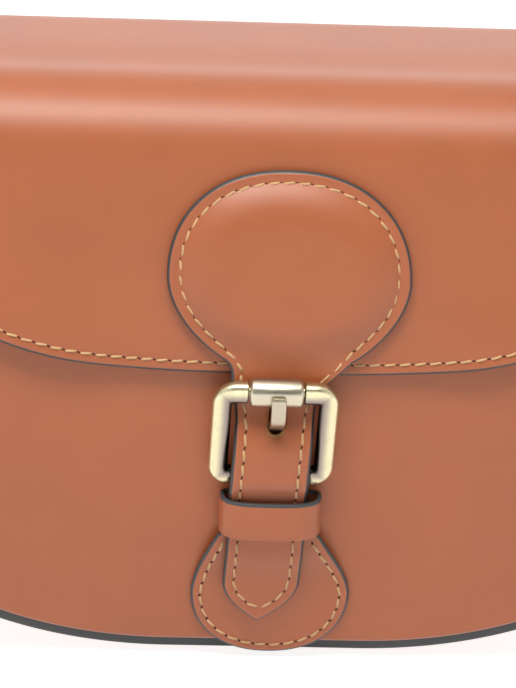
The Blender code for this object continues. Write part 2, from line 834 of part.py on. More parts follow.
# The flap and all that is sewn to it turn about a line just behind the top of the back panel
flap_axis = bpy.data.objects.new("flap_axis", None)
flap_axis.location = (0, back_y + axis_behind_back, back_mouth_z + hinge_gap / 2)
bag.objects.link(flap_axis)
for piece in (flap, flap_lining, closure_tab, tab_padding, strap):
    piece.parent = flap_axis
    piece.matrix_parent_inverse = Matrix.Translation(flap_axis.location).inverted()
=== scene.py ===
import math

import bmesh
import bpy
import numpy as np
from mathutils import Matrix, Vector


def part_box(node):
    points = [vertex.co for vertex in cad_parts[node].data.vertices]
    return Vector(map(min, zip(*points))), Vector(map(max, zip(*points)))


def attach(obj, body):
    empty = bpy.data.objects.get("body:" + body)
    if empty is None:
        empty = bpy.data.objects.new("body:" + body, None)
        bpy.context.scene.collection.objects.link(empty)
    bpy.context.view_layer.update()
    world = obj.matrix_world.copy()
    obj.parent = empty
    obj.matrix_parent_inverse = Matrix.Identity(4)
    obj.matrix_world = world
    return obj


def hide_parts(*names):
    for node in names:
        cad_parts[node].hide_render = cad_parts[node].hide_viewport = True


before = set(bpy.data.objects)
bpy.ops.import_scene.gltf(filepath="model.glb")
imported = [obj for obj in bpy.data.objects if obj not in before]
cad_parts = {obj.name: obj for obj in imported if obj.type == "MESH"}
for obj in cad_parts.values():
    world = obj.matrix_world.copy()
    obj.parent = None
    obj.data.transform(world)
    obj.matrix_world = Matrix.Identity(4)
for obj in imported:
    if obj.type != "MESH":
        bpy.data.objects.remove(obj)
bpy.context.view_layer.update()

# The camera stands a little above and to the left of the bag, turned slightly in the hand, with a
# long lens, so that the flap's curve and the buckle look as they do in the photograph.
camera_target = Vector((-0.00488, -0.0300, 0.0920))
camera_distance = 0.921
camera_elevation = math.radians(12)
camera_yaw = math.radians(2.94)
camera_roll = math.radians(1.92)
camera_lens = 182.25
camera_clip = 0.05
camera_level = math.cos(camera_elevation)
back = Vector((-math.sin(camera_yaw) * camera_level, -math.cos(camera_yaw) * camera_level, 0))
back.z = math.sin(camera_elevation)
level = (-back).cross(Vector((0, 0, 1))).normalized()
upright = back.cross(level)
across = math.cos(camera_roll) * level + math.sin(camera_roll) * upright
up = math.cos(camera_roll) * upright - math.sin(camera_roll) * level
camera = bpy.data.objects.new("camera", bpy.data.cameras.new("camera"))
camera.data.lens = camera_lens
camera.data.clip_start = camera_clip
camera_turn = Matrix((across, up, back)).transposed().to_4x4()
camera.matrix_world = Matrix.Translation(camera_target + back * camera_distance) @ camera_turn
bpy.context.scene.collection.objects.link(camera)
bpy.context.scene.camera = camera

# The front panel: one piece of smooth tan calf, 2 mm thick, that bellies out over the purse below
# it. Its cut edge is painted dark grey. The same cutting makes every other flat piece of leather.
panel_thickness = 0.0020
welt_reveal = 0.0019
front_reveal = 0.0048
belly_z = 0.115
belly_radius = 0.320
base_flat_half = 0.0265
corner_height = 0.049
edge_round = 0.0011
edge_dome_share = 0.4
paint_width = 0.00066
paint_slack_share = 1.01
raw_cut_share = 0.5
cut_only = 0.00005
edge_rings = (0.00015, 0.0004, paint_width, edge_round, 0.0015)
crease_height = 0.00009
crease_inset = 0.0012
crease_width = 0.0003
crowding = 0.00033
weld_gap = 1e-6
fine_gap = 1e-7
sliver = 2e-6
sharp_angle = math.radians(40)
wax_roughness = 0.56
belly_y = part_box("front_panel")[0].y
half_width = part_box("front_welt")[1].x
front_mouth_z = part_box("front_panel")[1].z


def on_front(z, out):
    """The (y, z) places that stand `out` off the outer face of the front panel at heights z."""
    lean = (np.asarray(z) - belly_z) / belly_radius
    length = np.hypot(1, lean)
    return belly_y + (z - belly_z) * lean / 2 - out / length, z + out * lean / length


def front_place(x, z, out):
    y, height = on_front(z, out)
    return np.stack([x, y, height], axis=1)


def body_half(inset, top):
    """The right half of the bag's outline from the front: flat base, elliptical corner, upright side."""
    width = half_width - base_flat_half
    half = [(0, inset)]
    for a in np.linspace(0, math.pi / 2, 48):
        out_x = corner_height * math.sin(a)
        out_z = -width * math.cos(a)
        length = math.hypot(out_x, out_z)
        x = base_flat_half + width * math.sin(a) - inset * out_x / length
        half.append((x, corner_height * (1 - math.cos(a)) - inset * out_z / length))
    for z in np.linspace(half[-1][1], top, 12)[1:]:
        half.append((half_width - inset, z))
    return [*half, (0, top)]


def both_sides(half):
    """The whole outline from its right half, which starts and ends on the middle line."""
    return list(half) + [(-x, s) for x, s in half[-2:0:-1]]


def cut_sheet(half, hole, rings, pitch):
    """A flat sheet with rings of edges just inside its rims and a grid all over it."""
    bm = bmesh.new()
    bm.faces.new([bm.verts.new((x, s, 0)) for x, s in [*half, *hole]])
    everything = bm.verts[:] + bm.edges[:] + bm.faces[:]
    bmesh.ops.mirror(bm, geom=everything, merge_dist=weld_gap, axis="X")
    bmesh.ops.recalc_face_normals(bm, faces=bm.faces)
    middle = bm.faces[:]
    reached = 0
    for ring in rings:
        step = ring - reached
        bmesh.ops.inset_region(
            bm, faces=middle, thickness=step, use_even_offset=True, use_boundary=True
        )
        inner = list(dict.fromkeys(vert for face in middle for vert in face.verts))
        bmesh.ops.remove_doubles(bm, verts=inner, dist=crowding)
        reached = ring
    for axis, normal in enumerate(((1, 0, 0), (0, 1, 0))):
        high = max(point[axis] for point in half)
        low = min(point[axis] for point in half) if axis else -high
        for spot in np.linspace(low, high, round((high - low) / pitch) + 1)[1:-1]:
            everything = bm.verts[:] + bm.edges[:] + bm.faces[:]
            centre = [spot * part for part in normal]
            bmesh.ops.bisect_plane(bm, geom=everything, dist=fine_gap, plane_co=centre, plane_no=normal)
    bmesh.ops.dissolve_degenerate(bm, edges=bm.edges, dist=sliver)
    return bm


def edge_distance(points, outline):
    starts = np.array(outline)
    nearest = np.full(len(points), np.inf)
    for start, run in zip(starts, np.roll(starts, -1, axis=0) - starts):
        share = np.clip((points - start) @ run / (run @ run), 0, 1)
        away = points - start - share[:, None] * run
        nearest = np.minimum(nearest, np.hypot(away[:, 0], away[:, 1]))
    return nearest


def swell(places, centre, width):
    """A smooth rise to 1 at a centre."""
    return np.exp(-(((places - centre) / width) ** 2))


def plain(x, s, inset):
    return np.zeros(len(x))


def creased(x, s, inset):
    """The thin lip that a hot creasing iron leaves just inside a painted edge."""
    return crease_height * swell(inset, crease_inset, crease_width)


def leather_mesh(
    half, place, low, high, pitch, hole=(), over=creased, under=plain, rings=edge_rings, paint=paint_width
):
    """Leather from `low` to `high` off its place, with domed edges that take the second material."""
    bm = cut_sheet(half, hole, rings, pitch)
    drawn = bmesh.ops.extrude_face_region(bm, geom=bm.faces[:])["geom"]
    face_side = {v for v in drawn if isinstance(v, bmesh.types.BMVert)}
    bm.verts.index_update()
    flat = np.array([v.co.xy for v in bm.verts])
    x, s = flat.T
    outside = edge_distance(flat, both_sides(half))
    inside = edge_distance(flat, both_sides(hole)) if hole else np.full(len(flat), np.inf)
    near_edge = np.clip(1 - np.minimum(outside, inside) / edge_round, 0, 1)
    fall = edge_dome_share * (high - low) * (1 - np.sqrt(1 - near_edge**2))
    upper = high - fall + over(x, s, outside)
    lower = low + fall + under(x, s, outside)
    outer = np.array([v in face_side for v in bm.verts])
    for vert, spot in zip(bm.verts, place(x, s, np.where(outer, upper, lower))):
        vert.co = spot
    for face in bm.faces:
        at = [vert.index for vert in face.verts]
        if max(outside[at]) < paint * paint_slack_share:
            face.material_index = 1
        elif max(inside[at]) < edge_round * raw_cut_share:
            face.material_index = 2
    return bm


def piece(name, bm, materials, body, slot, *nodes):
    """The finished mesh as a piece that rides on its body and stands for its solids."""
    mesh = bpy.data.meshes.new(name)
    bmesh.ops.recalc_face_normals(bm, faces=bm.faces)
    if bm.calc_volume(signed=True) < 0:
        bmesh.ops.reverse_faces(bm, faces=bm.faces)
    bm.to_mesh(mesh)
    bm.free()
    mesh.shade_smooth()
    mesh.set_sharp_from_angle(angle=sharp_angle)
    for made in materials:
        mesh.materials.append(made)
    obj = bpy.data.objects.new(name, mesh)
    bpy.context.scene.collection.objects.link(obj)
    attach(obj, body)
    if nodes:
        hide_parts(*nodes)
    return obj


def feed(tree, socket, value):
    """A socket takes a plain value, another node's socket, or a node's first output."""
    if isinstance(value, bpy.types.Node):
        value = value.outputs[0]
    if isinstance(value, bpy.types.NodeSocket):
        tree.links.new(value, socket)
    else:
        socket.default_value = value


def feed_named(tree, node, **values):
    for name, value in values.items():
        feed(tree, node.inputs[name.replace("_", " ").title()], value)


def add_node(tree, kind, *feeds, **values):
    """A node: the feeds go into its first inputs, the values into its properties or named inputs."""
    made = tree.nodes.new(kind)
    for key in [key for key in values if hasattr(made, key)]:
        setattr(made, key, values.pop(key))
    for socket, value in zip(made.inputs, feeds):
        feed(tree, socket, value)
    feed_named(tree, made, **values)
    return made


def bumped(tree, height, **values):
    """A bump node. Its Height is fed apart, since every node has a height property of its own."""
    made = add_node(tree, "ShaderNodeBump", **values)
    feed(tree, made.inputs["Height"], height)
    return made


def surface_group(name, takes):
    """A group with named inputs, which puts out a surface's colour, roughness and normal."""
    group = bpy.data.node_groups.new(name, "ShaderNodeTree")
    gives = {"Colour": "Color", "Roughness": "Float", "Normal": "Vector"}
    for way, sockets in (("INPUT", takes), ("OUTPUT", gives)):
        for socket, kind in sockets.items():
            group.interface.new_socket(name=socket, in_out=way, socket_type=f"NodeSocket{kind}")
    where = group.nodes.new("ShaderNodeTexCoord").outputs["Object"]
    return group, group.nodes.new("NodeGroupInput").outputs, where


def new_material(name):
    made = bpy.data.materials.new(name)
    made.use_nodes = True
    return made, made.node_tree, made.node_tree.nodes["Principled BSDF"]


def dress(tree, shader, surface, **values):
    """The shader takes a surface group's three outputs, and the values in its other inputs."""
    colour, roughness, normal = surface.outputs
    feed_named(tree, shader, base_color=colour, roughness=roughness, normal=normal, **values)


def hide_surface():
    """A group that gives leather its cloudy dye, fine pores and the small creases between them."""
    takes = {"Dye": "Color", "Cloud": "Float", "Gloss": "Float", "Grain": "Float"}
    group, inside, where = surface_group("hide_surface", takes)
    cloud = add_node(group, "ShaderNodeTexNoise", vector=where, scale=38, detail=4, roughness=0.55)
    pores = add_node(group, "ShaderNodeTexVoronoi", feature="F1", vector=where, scale=2300)
    creases = add_node(group, "ShaderNodeTexNoise", vector=where, scale=1100, detail=3, roughness=0.6)
    folds = creases.outputs["Fac"]
    darker = add_node(
        group,
        "ShaderNodeMapRange",
        value=cloud.outputs["Fac"],
        from_min=0.3,
        from_max=0.7,
        to_min=add_node(group, "ShaderNodeMath", 1, inside["Cloud"], operation="SUBTRACT"),
        to_max=add_node(group, "ShaderNodeMath", 1, inside["Cloud"], operation="ADD"),
    )
    dyed = add_node(group, "ShaderNodeVectorMath", inside["Dye"], operation="SCALE", scale=darker)
    dull = add_node(group, "ShaderNodeMath", folds, 0.12, inside["Gloss"], operation="MULTIPLY_ADD")
    depths = pores.outputs["Distance"]
    relief = add_node(group, "ShaderNodeMath", depths, 0.5, folds, operation="MULTIPLY_ADD")
    bump = bumped(group, relief, distance=0.00006, strength=inside["Grain"])
    add_node(group, "NodeGroupOutput", dyed, dull, bump)
    return group


hide_group = hide_surface()


def leather(name, dye, cloud, gloss, grain, coat=0.0, sheen=0.0):
    """Leather with the hide group's surface. Coat is the finisher's wax, sheen the nap of a split side."""
    made, tree, shader = new_material(name)
    surface = add_node(
        tree, "ShaderNodeGroup", (*dye, 1), cloud, gloss, grain, node_tree=hide_group
    )
    dress(tree, shader, surface, coat_weight=coat, coat_roughness=wax_roughness, sheen_weight=sheen)
    return made


tan_leather = leather("tan_leather", (0.42, 0.100, 0.020), cloud=0.05, gloss=0.38, grain=0.14, coat=0.85)
edge_paint = leather("edge_paint", (0.048, 0.050, 0.053), cloud=0.12, gloss=0.36, grain=0.30)
hides = (tan_leather, edge_paint)

front_half = body_half(front_reveal, front_mouth_z)
front_mesh = leather_mesh(front_half, front_place, -panel_thickness, 0, pitch=0.0025, paint=cut_only)
piece("front_panel_leather", front_mesh, hides, "bag", "tan_leather", "front_panel")

# The back panel: flat tan calf of the same cut, its top edge where the flap is sewn on and folds.
# Its edge is painted like the front's.
back_face_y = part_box("back_panel")[1].y
back_mouth_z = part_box("back_panel")[1].z


def back_place(x, z, out):
    return np.stack([x, back_face_y + out, z], axis=1)


back_half = body_half(welt_reveal, back_mouth_z)
back_mesh = leather_mesh(back_half, back_place, -panel_thickness, 0, pitch=0.004, paint=cut_only)
piece("back_panel_leather", back_mesh, hides, "bag", "tan_leather", "back_panel")

# The welts: strips of leather painted all over, glued between each panel and the gusset so that a
# dark rounded band shows all round the panels.
welt_thickness = 0.0020
welt_width = 0.0040
welt_squareness = 0.55
front_welt_width = 0.0046
front_trim = 0.0008
seam_gap = 0.0003
look_ahead_share = 0.002
front_welt_top_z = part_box("front_welt")[1].z
back_welt_top_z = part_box("back_welt")[1].z


def wrapped(columns, rows, place):
    """A grid whose two shares, along and around, are placed in space, and whose seams are closed."""
    bm = bmesh.new()
    bmesh.ops.create_grid(bm, x_segments=columns, y_segments=rows, size=1)
    shares = (np.array([v.co.xy for v in bm.verts]) + 1) / 2
    for vert, spot in zip(bm.verts, place(*shares.T)):
        vert.co = spot
    bmesh.ops.remove_doubles(bm, verts=bm.verts, dist=fine_gap)
    bmesh.ops.holes_fill(bm, edges=[edge for edge in bm.edges if edge.is_boundary])
    return bm


def round_box(around, half_across, half_up, squareness):
    """Points round a rectangle with soft corners: a circle at squareness 1, square towards 0."""
    c, s = np.cos(around), np.sin(around)
    across = half_across * np.sign(c) * np.abs(c) ** squareness
    return across, half_up * np.sign(s) * np.abs(s) ** squareness


def run_lengths(line):
    return np.concatenate([[0], np.cumsum(np.linalg.norm(np.diff(line, axis=0), axis=1))])


def evenly(points, shares, closed=False):
    """Places and unit directions along a path of points, at shares of its length."""
    path = np.array(points, float)
    if closed:
        path = np.vstack([path, path[:1]])
    lengths = run_lengths(path)
    period = lengths[-1]
    step = period * look_ahead_share

    def at(length):
        length = length % period if closed else np.clip(length, 0, period)
        return np.stack([np.interp(length, lengths, column) for column in path.T], axis=1)

    there = shares * period
    ahead = at(there + step) - at(there - step)
    return at(there), ahead / np.linalg.norm(ahead, axis=1)[:, None]


def welt_mesh(top, depth_place, width, trim):
    """A band that follows the bag's outline, trimmed a little, at a depth behind the panel."""
    right = body_half(trim + width / 2, top)[:-1]
    middle = [(-x, z) for x, z in right[:0:-1]] + right

    def place(along, around):
        spot, direction = evenly(middle, along)
        turn = around * 2 * math.pi
        wide, thick = round_box(turn, width / 2, welt_thickness / 2, welt_squareness)
        x = spot[:, 0] + wide * direction[:, 1]
        z = spot[:, 1] - wide * direction[:, 0]
        return depth_place(x, z, thick - panel_thickness - seam_gap - welt_thickness / 2)

    return wrapped(240, 20, place)


for side, top, place, width, trim in (
    ("front", front_welt_top_z, front_place, front_welt_width, front_trim),
    ("back", back_welt_top_z, back_place, welt_width, 0),
):
    made = welt_mesh(top, place, width, trim)
    piece(f"{side}_welt_edge", made, (edge_paint,), "bag", "painted_edge", f"{side}_welt")

# The flap: one hide, faced with lining, that is sewn to the back, slopes down to a soft front bend
# and falls over the front panel. Its lower edge is a wide curve with one row of gold stitching.
lining_thickness = 0.0008
flap_leather = 0.0018
flap_gap = 0.0004
front_bend_radius = 0.020
back_bend_radius = 0.010
top_slope = math.radians(9)
hinge_gap = 0.0006
flap_line_low_z = -0.006
flap_edge_power = 3.2
flap_stand = 0.0022
stand_reaches = (0.034, 0.060)
stand_lengths = (0.090, 0.128)
valley_back = 0.031
valley_depth = 0.0009
valley_width = 0.011
ridge_back = 0.009
ridge_height = 0.0006
ridge_width = 0.012
stitch_inset = 0.0029
stitched_rings = (*edge_rings, 0.0020, 0.0024, stitch_inset, 0.0034, 0.0039, 0.0050)
groove_depth = 0.00018
groove_width = 0.0006
groove_rise = 0.010
flap_thickness = lining_thickness + seam_gap + flap_leather
flap_edge_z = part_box("flap")[0].z
flap_half_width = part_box("flap")[1].x
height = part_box("flap")[1].z


def flap_path(bend_start):
    """The side view of the flap's inner face, from below the bag to its root."""
    heights = np.linspace(flap_line_low_z, bend_start, 120)
    path = list(zip(*on_front(heights, flap_gap)))

    def bend(radius, start, end):
        y, z = path[-1]
        for angle in np.linspace(start, end, 40)[1:]:
            across = radius * (math.sin(start) - math.sin(angle))
            path.append((y + across, z + radius * (math.cos(angle) - math.cos(start))))

    lean = math.atan((belly_z - bend_start) / belly_radius)
    bend(front_bend_radius, math.pi / 2 + lean, top_slope)
    y, z = path[-1]
    reach = back_face_y - flap_thickness - back_bend_radius * (1 + math.sin(top_slope))
    for share in np.linspace(0, 1, 30)[1:]:
        path.append((y + (reach - y) * share, z + (reach - y) * share * math.tan(top_slope)))
    bend(back_bend_radius, top_slope, -math.pi / 2)
    path.append((back_face_y - flap_thickness, back_mouth_z + hinge_gap))
    return path


bend_z = front_mouth_z
for _ in range(30):
    bend_z += height - flap_thickness - max(z for _, z in flap_path(bend_z))


def line_place(line):
    """How a sheet lies on a side view line: across it, along it, and out to its left."""
    lengths = run_lengths(line)
    ahead = np.gradient(line, axis=0)
    ahead /= np.linalg.norm(ahead, axis=1)[:, None]

    def place(x, s, out):
        y, z = (np.interp(s, lengths, column) for column in line.T)
        ahead_y, ahead_z = (np.interp(s, lengths, column) for column in ahead.T)
        return np.stack([x, y - out * ahead_z, z + out * ahead_y], axis=1)

    return place


def ramp(z, start, end):
    t = np.clip((np.asarray(z) - start) / (end - start), 0, 1)
    return t * t * (3 - 2 * t)


flap_line = np.array(flap_path(bend_z))
flap_lengths = run_lengths(flap_line)
flap_flat_place = line_place(flap_line)
flap_rise = slice(0, int(np.argmax(flap_line[:, 1])))
bend_length = np.interp(bend_z, flap_line[flap_rise, 1], flap_lengths[flap_rise])


def flap_place(x, s, out):
    """The strap holds the flap down in the middle, and its edge stands off the panel at the sides."""
    stand = flap_stand * ramp(np.abs(x), *stand_reaches) * (1 - ramp(s, *stand_lengths))
    return flap_flat_place(x, s, out + stand)


def groove(inset, seam_inset, depth):
    """The shallow groove that stitches are drawn down into."""
    return depth * swell(inset, seam_inset, groove_width)


def flap_lift(x, s, inset):
    """A shallow valley along the top, a soft ridge over the front bend, and the sewn groove."""
    valley = valley_depth * swell(s, bend_length + valley_back, valley_width)
    ridge = ridge_height * swell(s, bend_length + ridge_back, ridge_width)
    sewn_part = np.where(s < bend_length + groove_rise, groove(inset, stitch_inset, groove_depth), 0)
    return ridge - valley - sewn_part + creased(x, s, inset)


def flap_half(inset):
    rise = height - flap_edge_z - inset
    reach = flap_half_width - inset
    heights = [(0, flap_edge_z + inset)]
    for share in np.sin(np.linspace(0, math.pi / 2, 90))[1:]:
        z = flap_edge_z + inset + rise * (1 - (1 - share**flap_edge_power) ** (1 / flap_edge_power))
        heights.append((reach * share, z))
    half = []
    for x, z in heights:
        if z < bend_z + front_bend_radius:
            half.append((x, np.interp(z, flap_line[flap_rise, 1], flap_lengths[flap_rise])))
    for length in np.linspace(half[-1][1], flap_lengths[-1], 40)[1:]:
        half.append((reach, length))
    return [*half, (0, flap_lengths[-1])]


flap_cut = flap_half(0)
flap_low = lining_thickness + seam_gap
flap_mesh = leather_mesh(
    flap_cut, flap_place, flap_low, flap_thickness, pitch=0.0022, over=flap_lift, rings=stitched_rings
)
piece("flap_leather", flap_mesh, hides, "flap_assembly", "tan_leather", "flap")

# Gold saddle stitching: thick waxed thread in needle holes about 4 mm apart. Each stitch leans a
# little and dives into its holes at both ends. Between it and the next, a flat dark disc is painted
# shade for the pinched hole.
stitch_pitch = 0.0040
stitch_half = 0.00162
stitch_lean = 0.00018
stitch_lift = 0.00014
stitch_dive = 0.00045
thread_radius = 0.00035
thread_turns = 4
hole_half = 0.00050
hole_radius = 0.00032
hole_height = 0.00007
hole_lift = 0.00002
clear_share = 0.98
flap_seam_rise = 0.018
flap_seam_middle = 0.050


def mixed(tree, share, first, second):
    """The output of a node that fades the first colour into the second."""
    mix = add_node(tree, "ShaderNodeMix", share, data_type="RGBA")
    feed(tree, mix.inputs[6], first)
    feed(tree, mix.inputs[7], second)
    return mix.outputs[2]


def thread_material():
    made, tree, shader = new_material("gold_thread")
    where = tree.nodes.new("ShaderNodeTexCoord").outputs["UV"]
    wave = add_node(tree, "ShaderNodeTexWave", vector=where, bands_direction="DIAGONAL", scale=2.2)
    twist = wave.outputs["Fac"]
    # The twist is painted light and shade: lighter where the bump rises, darker in its grooves.
    shade = mixed(tree, twist, (0.72, 0.40, 0.16, 1), (0.95, 0.66, 0.34, 1))
    bump = bumped(tree, twist, distance=0.0001, strength=0.6)
    feed_named(tree, shader, base_color=shade, normal=bump, roughness=0.5, sheen_weight=0.3)
    return made


gold_thread = thread_material()
# Painted shade for the inside of the needle holes.
painted_hole_shade = leather("painted_hole_shade", (0.045, 0.012, 0.006), cloud=0.1, gloss=0.8, grain=0.1)


def stitch_ball(ball):
    """Where a round stitch's points go: along the seam, aside from it, and off the leather."""
    aside, lift, along = ball.T
    full = np.sqrt(np.clip(1 - along**6, 0, 1)) / np.sqrt(np.clip(1 - along**2, 1e-6, 1))
    aside = aside * full * thread_radius + along * stitch_lean
    return along * stitch_half, aside, lift * full * thread_radius + stitch_lift - stitch_dive * along**4


# A flat dark disc of painted shade, laid where the pinched needle hole is.
def painted_hole_disc(ball):
    aside, lift, along = ball.T
    aside = aside * hole_radius - along * stitch_lean
    return along * hole_half + stitch_pitch / 2, aside, lift * hole_height + hole_lift


def sewn(name, line, place, surface, body):
    """A row of stitches along a line of (across, length) points on a piece's surface."""
    count = round(sum(math.dist(a, b) for a, b in zip(line, line[1:])) / stitch_pitch)
    spots, ways = evenly(line, (np.arange(count) + 0.5) / count)
    bm = bmesh.new()
    turns = bm.loops.layers.uv.new("UVMap")
    for spot, way in zip(spots, ways):
        side = np.array([-way[1], way[0]])
        # Each stitch is a thread, and each needle hole a flat dark disc of painted shade.
        for kind, (rounds, shape) in enumerate(((6, stitch_ball), (4, painted_hole_disc))):
            verts = bmesh.ops.create_uvsphere(bm, u_segments=8, v_segments=rounds, radius=1)["verts"]
            ball = np.array([v.co for v in verts])
            along, aside, lift = shape(ball)
            x, s = (spot + along[:, None] * way + aside[:, None] * side).T
            for vert, where in zip(verts, place(x, s, surface(x, s) + lift)):
                vert.co = where
            shown = dict(zip(verts, ball))
            for face in {face for vert in verts for face in vert.link_faces}:
                face.material_index = kind
                for loop in face.loops:
                    across, _, ahead = shown[loop.vert]
                    loop[turns].uv = (ahead * thread_turns, across)
    return piece(name, bm, (gold_thread, painted_hole_shade), body, "tan_leather")


def flap_surface(x, s):
    return flap_thickness + flap_lift(x, s, np.full(len(x), stitch_inset))


def inside_line(outline, inset, kept):
    """The line that runs at an even distance inside an outline, where `kept` says so."""
    points = np.array(outline)
    ahead = np.roll(points, -1, axis=0) - np.roll(points, 1, axis=0)
    ahead /= np.linalg.norm(ahead, axis=1)[:, None]
    moved = points + inset * np.stack([-ahead[:, 1], ahead[:, 0]], axis=1)
    clear = edge_distance(moved, outline) > inset * clear_share
    return [tuple(p) for p, fine in zip(moved, clear) if fine and kept(*p)]


def round_from(line, middle):
    """A seam's points in their order round a place on the middle line, from one end to the other."""
    return sorted(line, key=lambda point: math.atan2(point[0], middle - point[1]))


flap_seam_end = bend_length + flap_seam_rise
flap_seam = inside_line(both_sides(flap_cut), stitch_inset, lambda x, s: s < flap_seam_end)
flap_seam = round_from(flap_seam, bend_length + flap_seam_middle)
sewn("flap_stitching", flap_seam, flap_place, flap_surface, "flap_assembly")

# The gusset: one long strip of tan calf round the sides and the base, glued and sewn between the
# welts. Its top ends are cut to the flap's side view and painted.
gusset_thickness = 0.0018
gusset_drop_length = 0.018
gusset_even_z = 0.060
gusset_follow_z = 0.062
gusset_start = panel_thickness + welt_thickness + 2 * seam_gap


def around_path(inset):
    path = np.array(body_half(inset, height)[:-1])
    return path, run_lengths(path)


def around_place(inset):
    """How a strip lies round the bag's outline: its length from the base's middle, its depth, and out."""
    path, lengths = around_path(inset)
    ahead = np.gradient(path, axis=0)
    ahead /= np.linalg.norm(ahead, axis=1)[:, None]

    def place(length, y, out):
        x, z, ahead_x, ahead_z = (
            np.interp(np.abs(length), lengths, column) for column in (*path.T, *ahead.T)
        )
        return np.stack([np.sign(length) * (x + out * ahead_z), y, z - out * ahead_x], axis=1)

    return place


def gusset_half(inset):
    """Half of the strip laid out flat, trimmed in front and above to the flap's side view."""
    path, lengths = around_path(inset)
    under = flap_place(np.zeros(400), np.linspace(0, flap_lengths[-1], 400), -gusset_start - flap_gap)
    under = under[under[:, 1] < back_face_y - gusset_drop_length][:, 1:]
    upright = lengths[-1] - height
    half = []
    for length in np.linspace(0, upright + gusset_even_z, 60):
        z = np.interp(length, lengths, path[:, 1])
        half.append((length, np.interp(z, under[:, 1], under[:, 0])))
    for y, z in under[under[:, 1] > gusset_follow_z]:
        half.append((z + upright, y))
    last_y = back_face_y - gusset_start
    half.append((back_welt_top_z + upright, last_y))
    return [*half, (0, last_y)]


gusset_place = around_place(welt_reveal)
gusset_mesh = leather_mesh(
    gusset_half(welt_reveal), gusset_place, -gusset_thickness, 0, pitch=0.004, paint=cut_only
)
piece("gusset_leather", gusset_mesh, hides, "bag", "tan_leather", "gusset")

# The linings: thin brown split leather, glued suede side out behind every outer piece. They show
# when the flap is lifted.
lining_inset = welt_width + seam_gap
flap_lining_inset = 0.0010
lining_hide = leather("lining_leather", (0.30, 0.175, 0.10), cloud=0.10, gloss=0.72, grain=0.5, sheen=0.35)
panel_lining_low = -panel_thickness - seam_gap - lining_thickness
front_lining_half = body_half(front_trim + front_welt_width + seam_gap, front_mouth_z - seam_gap)
back_lining_half = body_half(lining_inset, back_welt_top_z)
for name, half, place, low, body in (
    ("front_lining", front_lining_half, front_place, panel_lining_low, "bag"),
    ("back_lining", back_lining_half, back_place, panel_lining_low, "bag"),
    ("gusset_lining", gusset_half(lining_inset), around_place(lining_inset), -lining_thickness, "bag"),
    ("flap_lining", flap_half(flap_lining_inset), flap_place, 0, "flap_assembly"),
):
    made = leather_mesh(half, place, low, low + lining_thickness, pitch=0.004, over=plain, paint=0)
    piece(f"{name}_suede", made, (lining_hide,), body, "lining", name)

# The keyhole tab and the strap: one doubled leather, domed over a pad at the top, that narrows to a
# 20 mm strap, passes under the roller and over the lower bar, and ends in a point below the keeper.
strap_thickness = 0.0026
strap_gap = 0.0004
chape_leather = 0.0016
keeper_leather = 0.0014
chape_bar_radius = 0.0014
chape_bar_z = 0.0570
bar_clearance = 0.0003
roller_radius = 0.0036
roller_z = 0.0819
keeper_low_z = 0.0392
keeper_high_z = 0.0495
keeper_lead = 0.0032
patch_rise_length = 0.0100
bar_rise_length = 0.0072
roller_fall_length = 0.0163
tab_widest_z = 0.1104
tab_half_width = 0.0322
tab_low_half = 0.0271
tab_high_power = 2.22
tab_low_power = 1.75
tab_right = 0.00264
tab_lean = 0.027
tab_lean_z = 0.110
tab_right_heights = (0.080, 0.0885)
neck_radius = 0.0258
neck_end_z = 0.0719
neck_leave_share = 0.86
strap_half_width = 0.0104
strap_tip_z = 0.0137
strap_shoulder_z = 0.0259
strap_left = 0.0010
strap_left_heights = (0.050, 0.076)
strap_hang = 0.0012
strap_hang_power = 1.2
tip_power = 2.0
point_gap = 0.0003
hole_high_z = 0.0750
hole_low_z = 0.0716
hole_z = (hole_high_z + hole_low_z) / 2
strap_hole_half = 0.0021
hole_shift = 0.0006
hole_shift_reach = 0.006
dome_height = 0.0033
dome_start = 0.0033
dome_run = 0.0115
dome_power = 2.2
dome_heights = (0.084, 0.100)
tab_top_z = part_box("closure_tab")[1].z
tab_inner = flap_gap + flap_thickness + seam_gap
fold_outer = chape_bar_radius + bar_clearance + chape_leather
fold_middle = fold_outer - chape_leather / 2
chape_bar_out = fold_outer + 2 * seam_gap
patch_middle = seam_gap + chape_leather / 2
neck_middle = 2 * seam_gap + keeper_leather + chape_leather / 2
strap_low = patch_middle + chape_leather / 2 + strap_gap
strap_keeper = neck_middle + chape_leather / 2 + strap_gap
strap_bar = chape_bar_out + fold_outer + strap_gap
rise_end_z = keeper_low_z - keeper_lead
rise_start_z = rise_end_z - patch_rise_length
fall_end_z = roller_z - strap_thickness
fall_start_z = fall_end_z - roller_fall_length


def strap_out(z):
    """How far the strap's and the tab's inner face stands off the front panel."""
    on_keeper = (strap_keeper - strap_low) * ramp(z, rise_start_z, rise_end_z)
    on_bar = (strap_bar - strap_keeper) * ramp(z, chape_bar_z - bar_rise_length, chape_bar_z)
    to_tab = (tab_inner - strap_bar) * ramp(z, fall_start_z, fall_end_z)
    return strap_low + on_keeper + on_bar + to_tab


def strap_place(x, z, out):
    """The tab is sewn a little to the right, and so is the hole, and the strap hangs to the left."""
    tab_shift = (tab_right - tab_lean * (z - tab_lean_z)) * ramp(z, *tab_right_heights)
    near_hole = swell(x, 0, hole_shift_reach) * swell(z, hole_z, hole_shift_reach)
    to_left = strap_left * (1 - ramp(z, *strap_left_heights))
    hanging = np.clip((keeper_low_z - z) / (keeper_low_z - strap_tip_z), 0, 1) ** strap_hang_power
    shift = tab_shift + hole_shift * near_hole - to_left - strap_hang * hanging
    return front_place(x + shift, z, strap_out(z) + out)


def arc(centre, radius, start, end, steps):
    angles = np.radians(np.linspace(start, end, steps + 1))
    return [(centre[0] + radius * math.cos(a), centre[1] + radius * math.sin(a)) for a in angles]


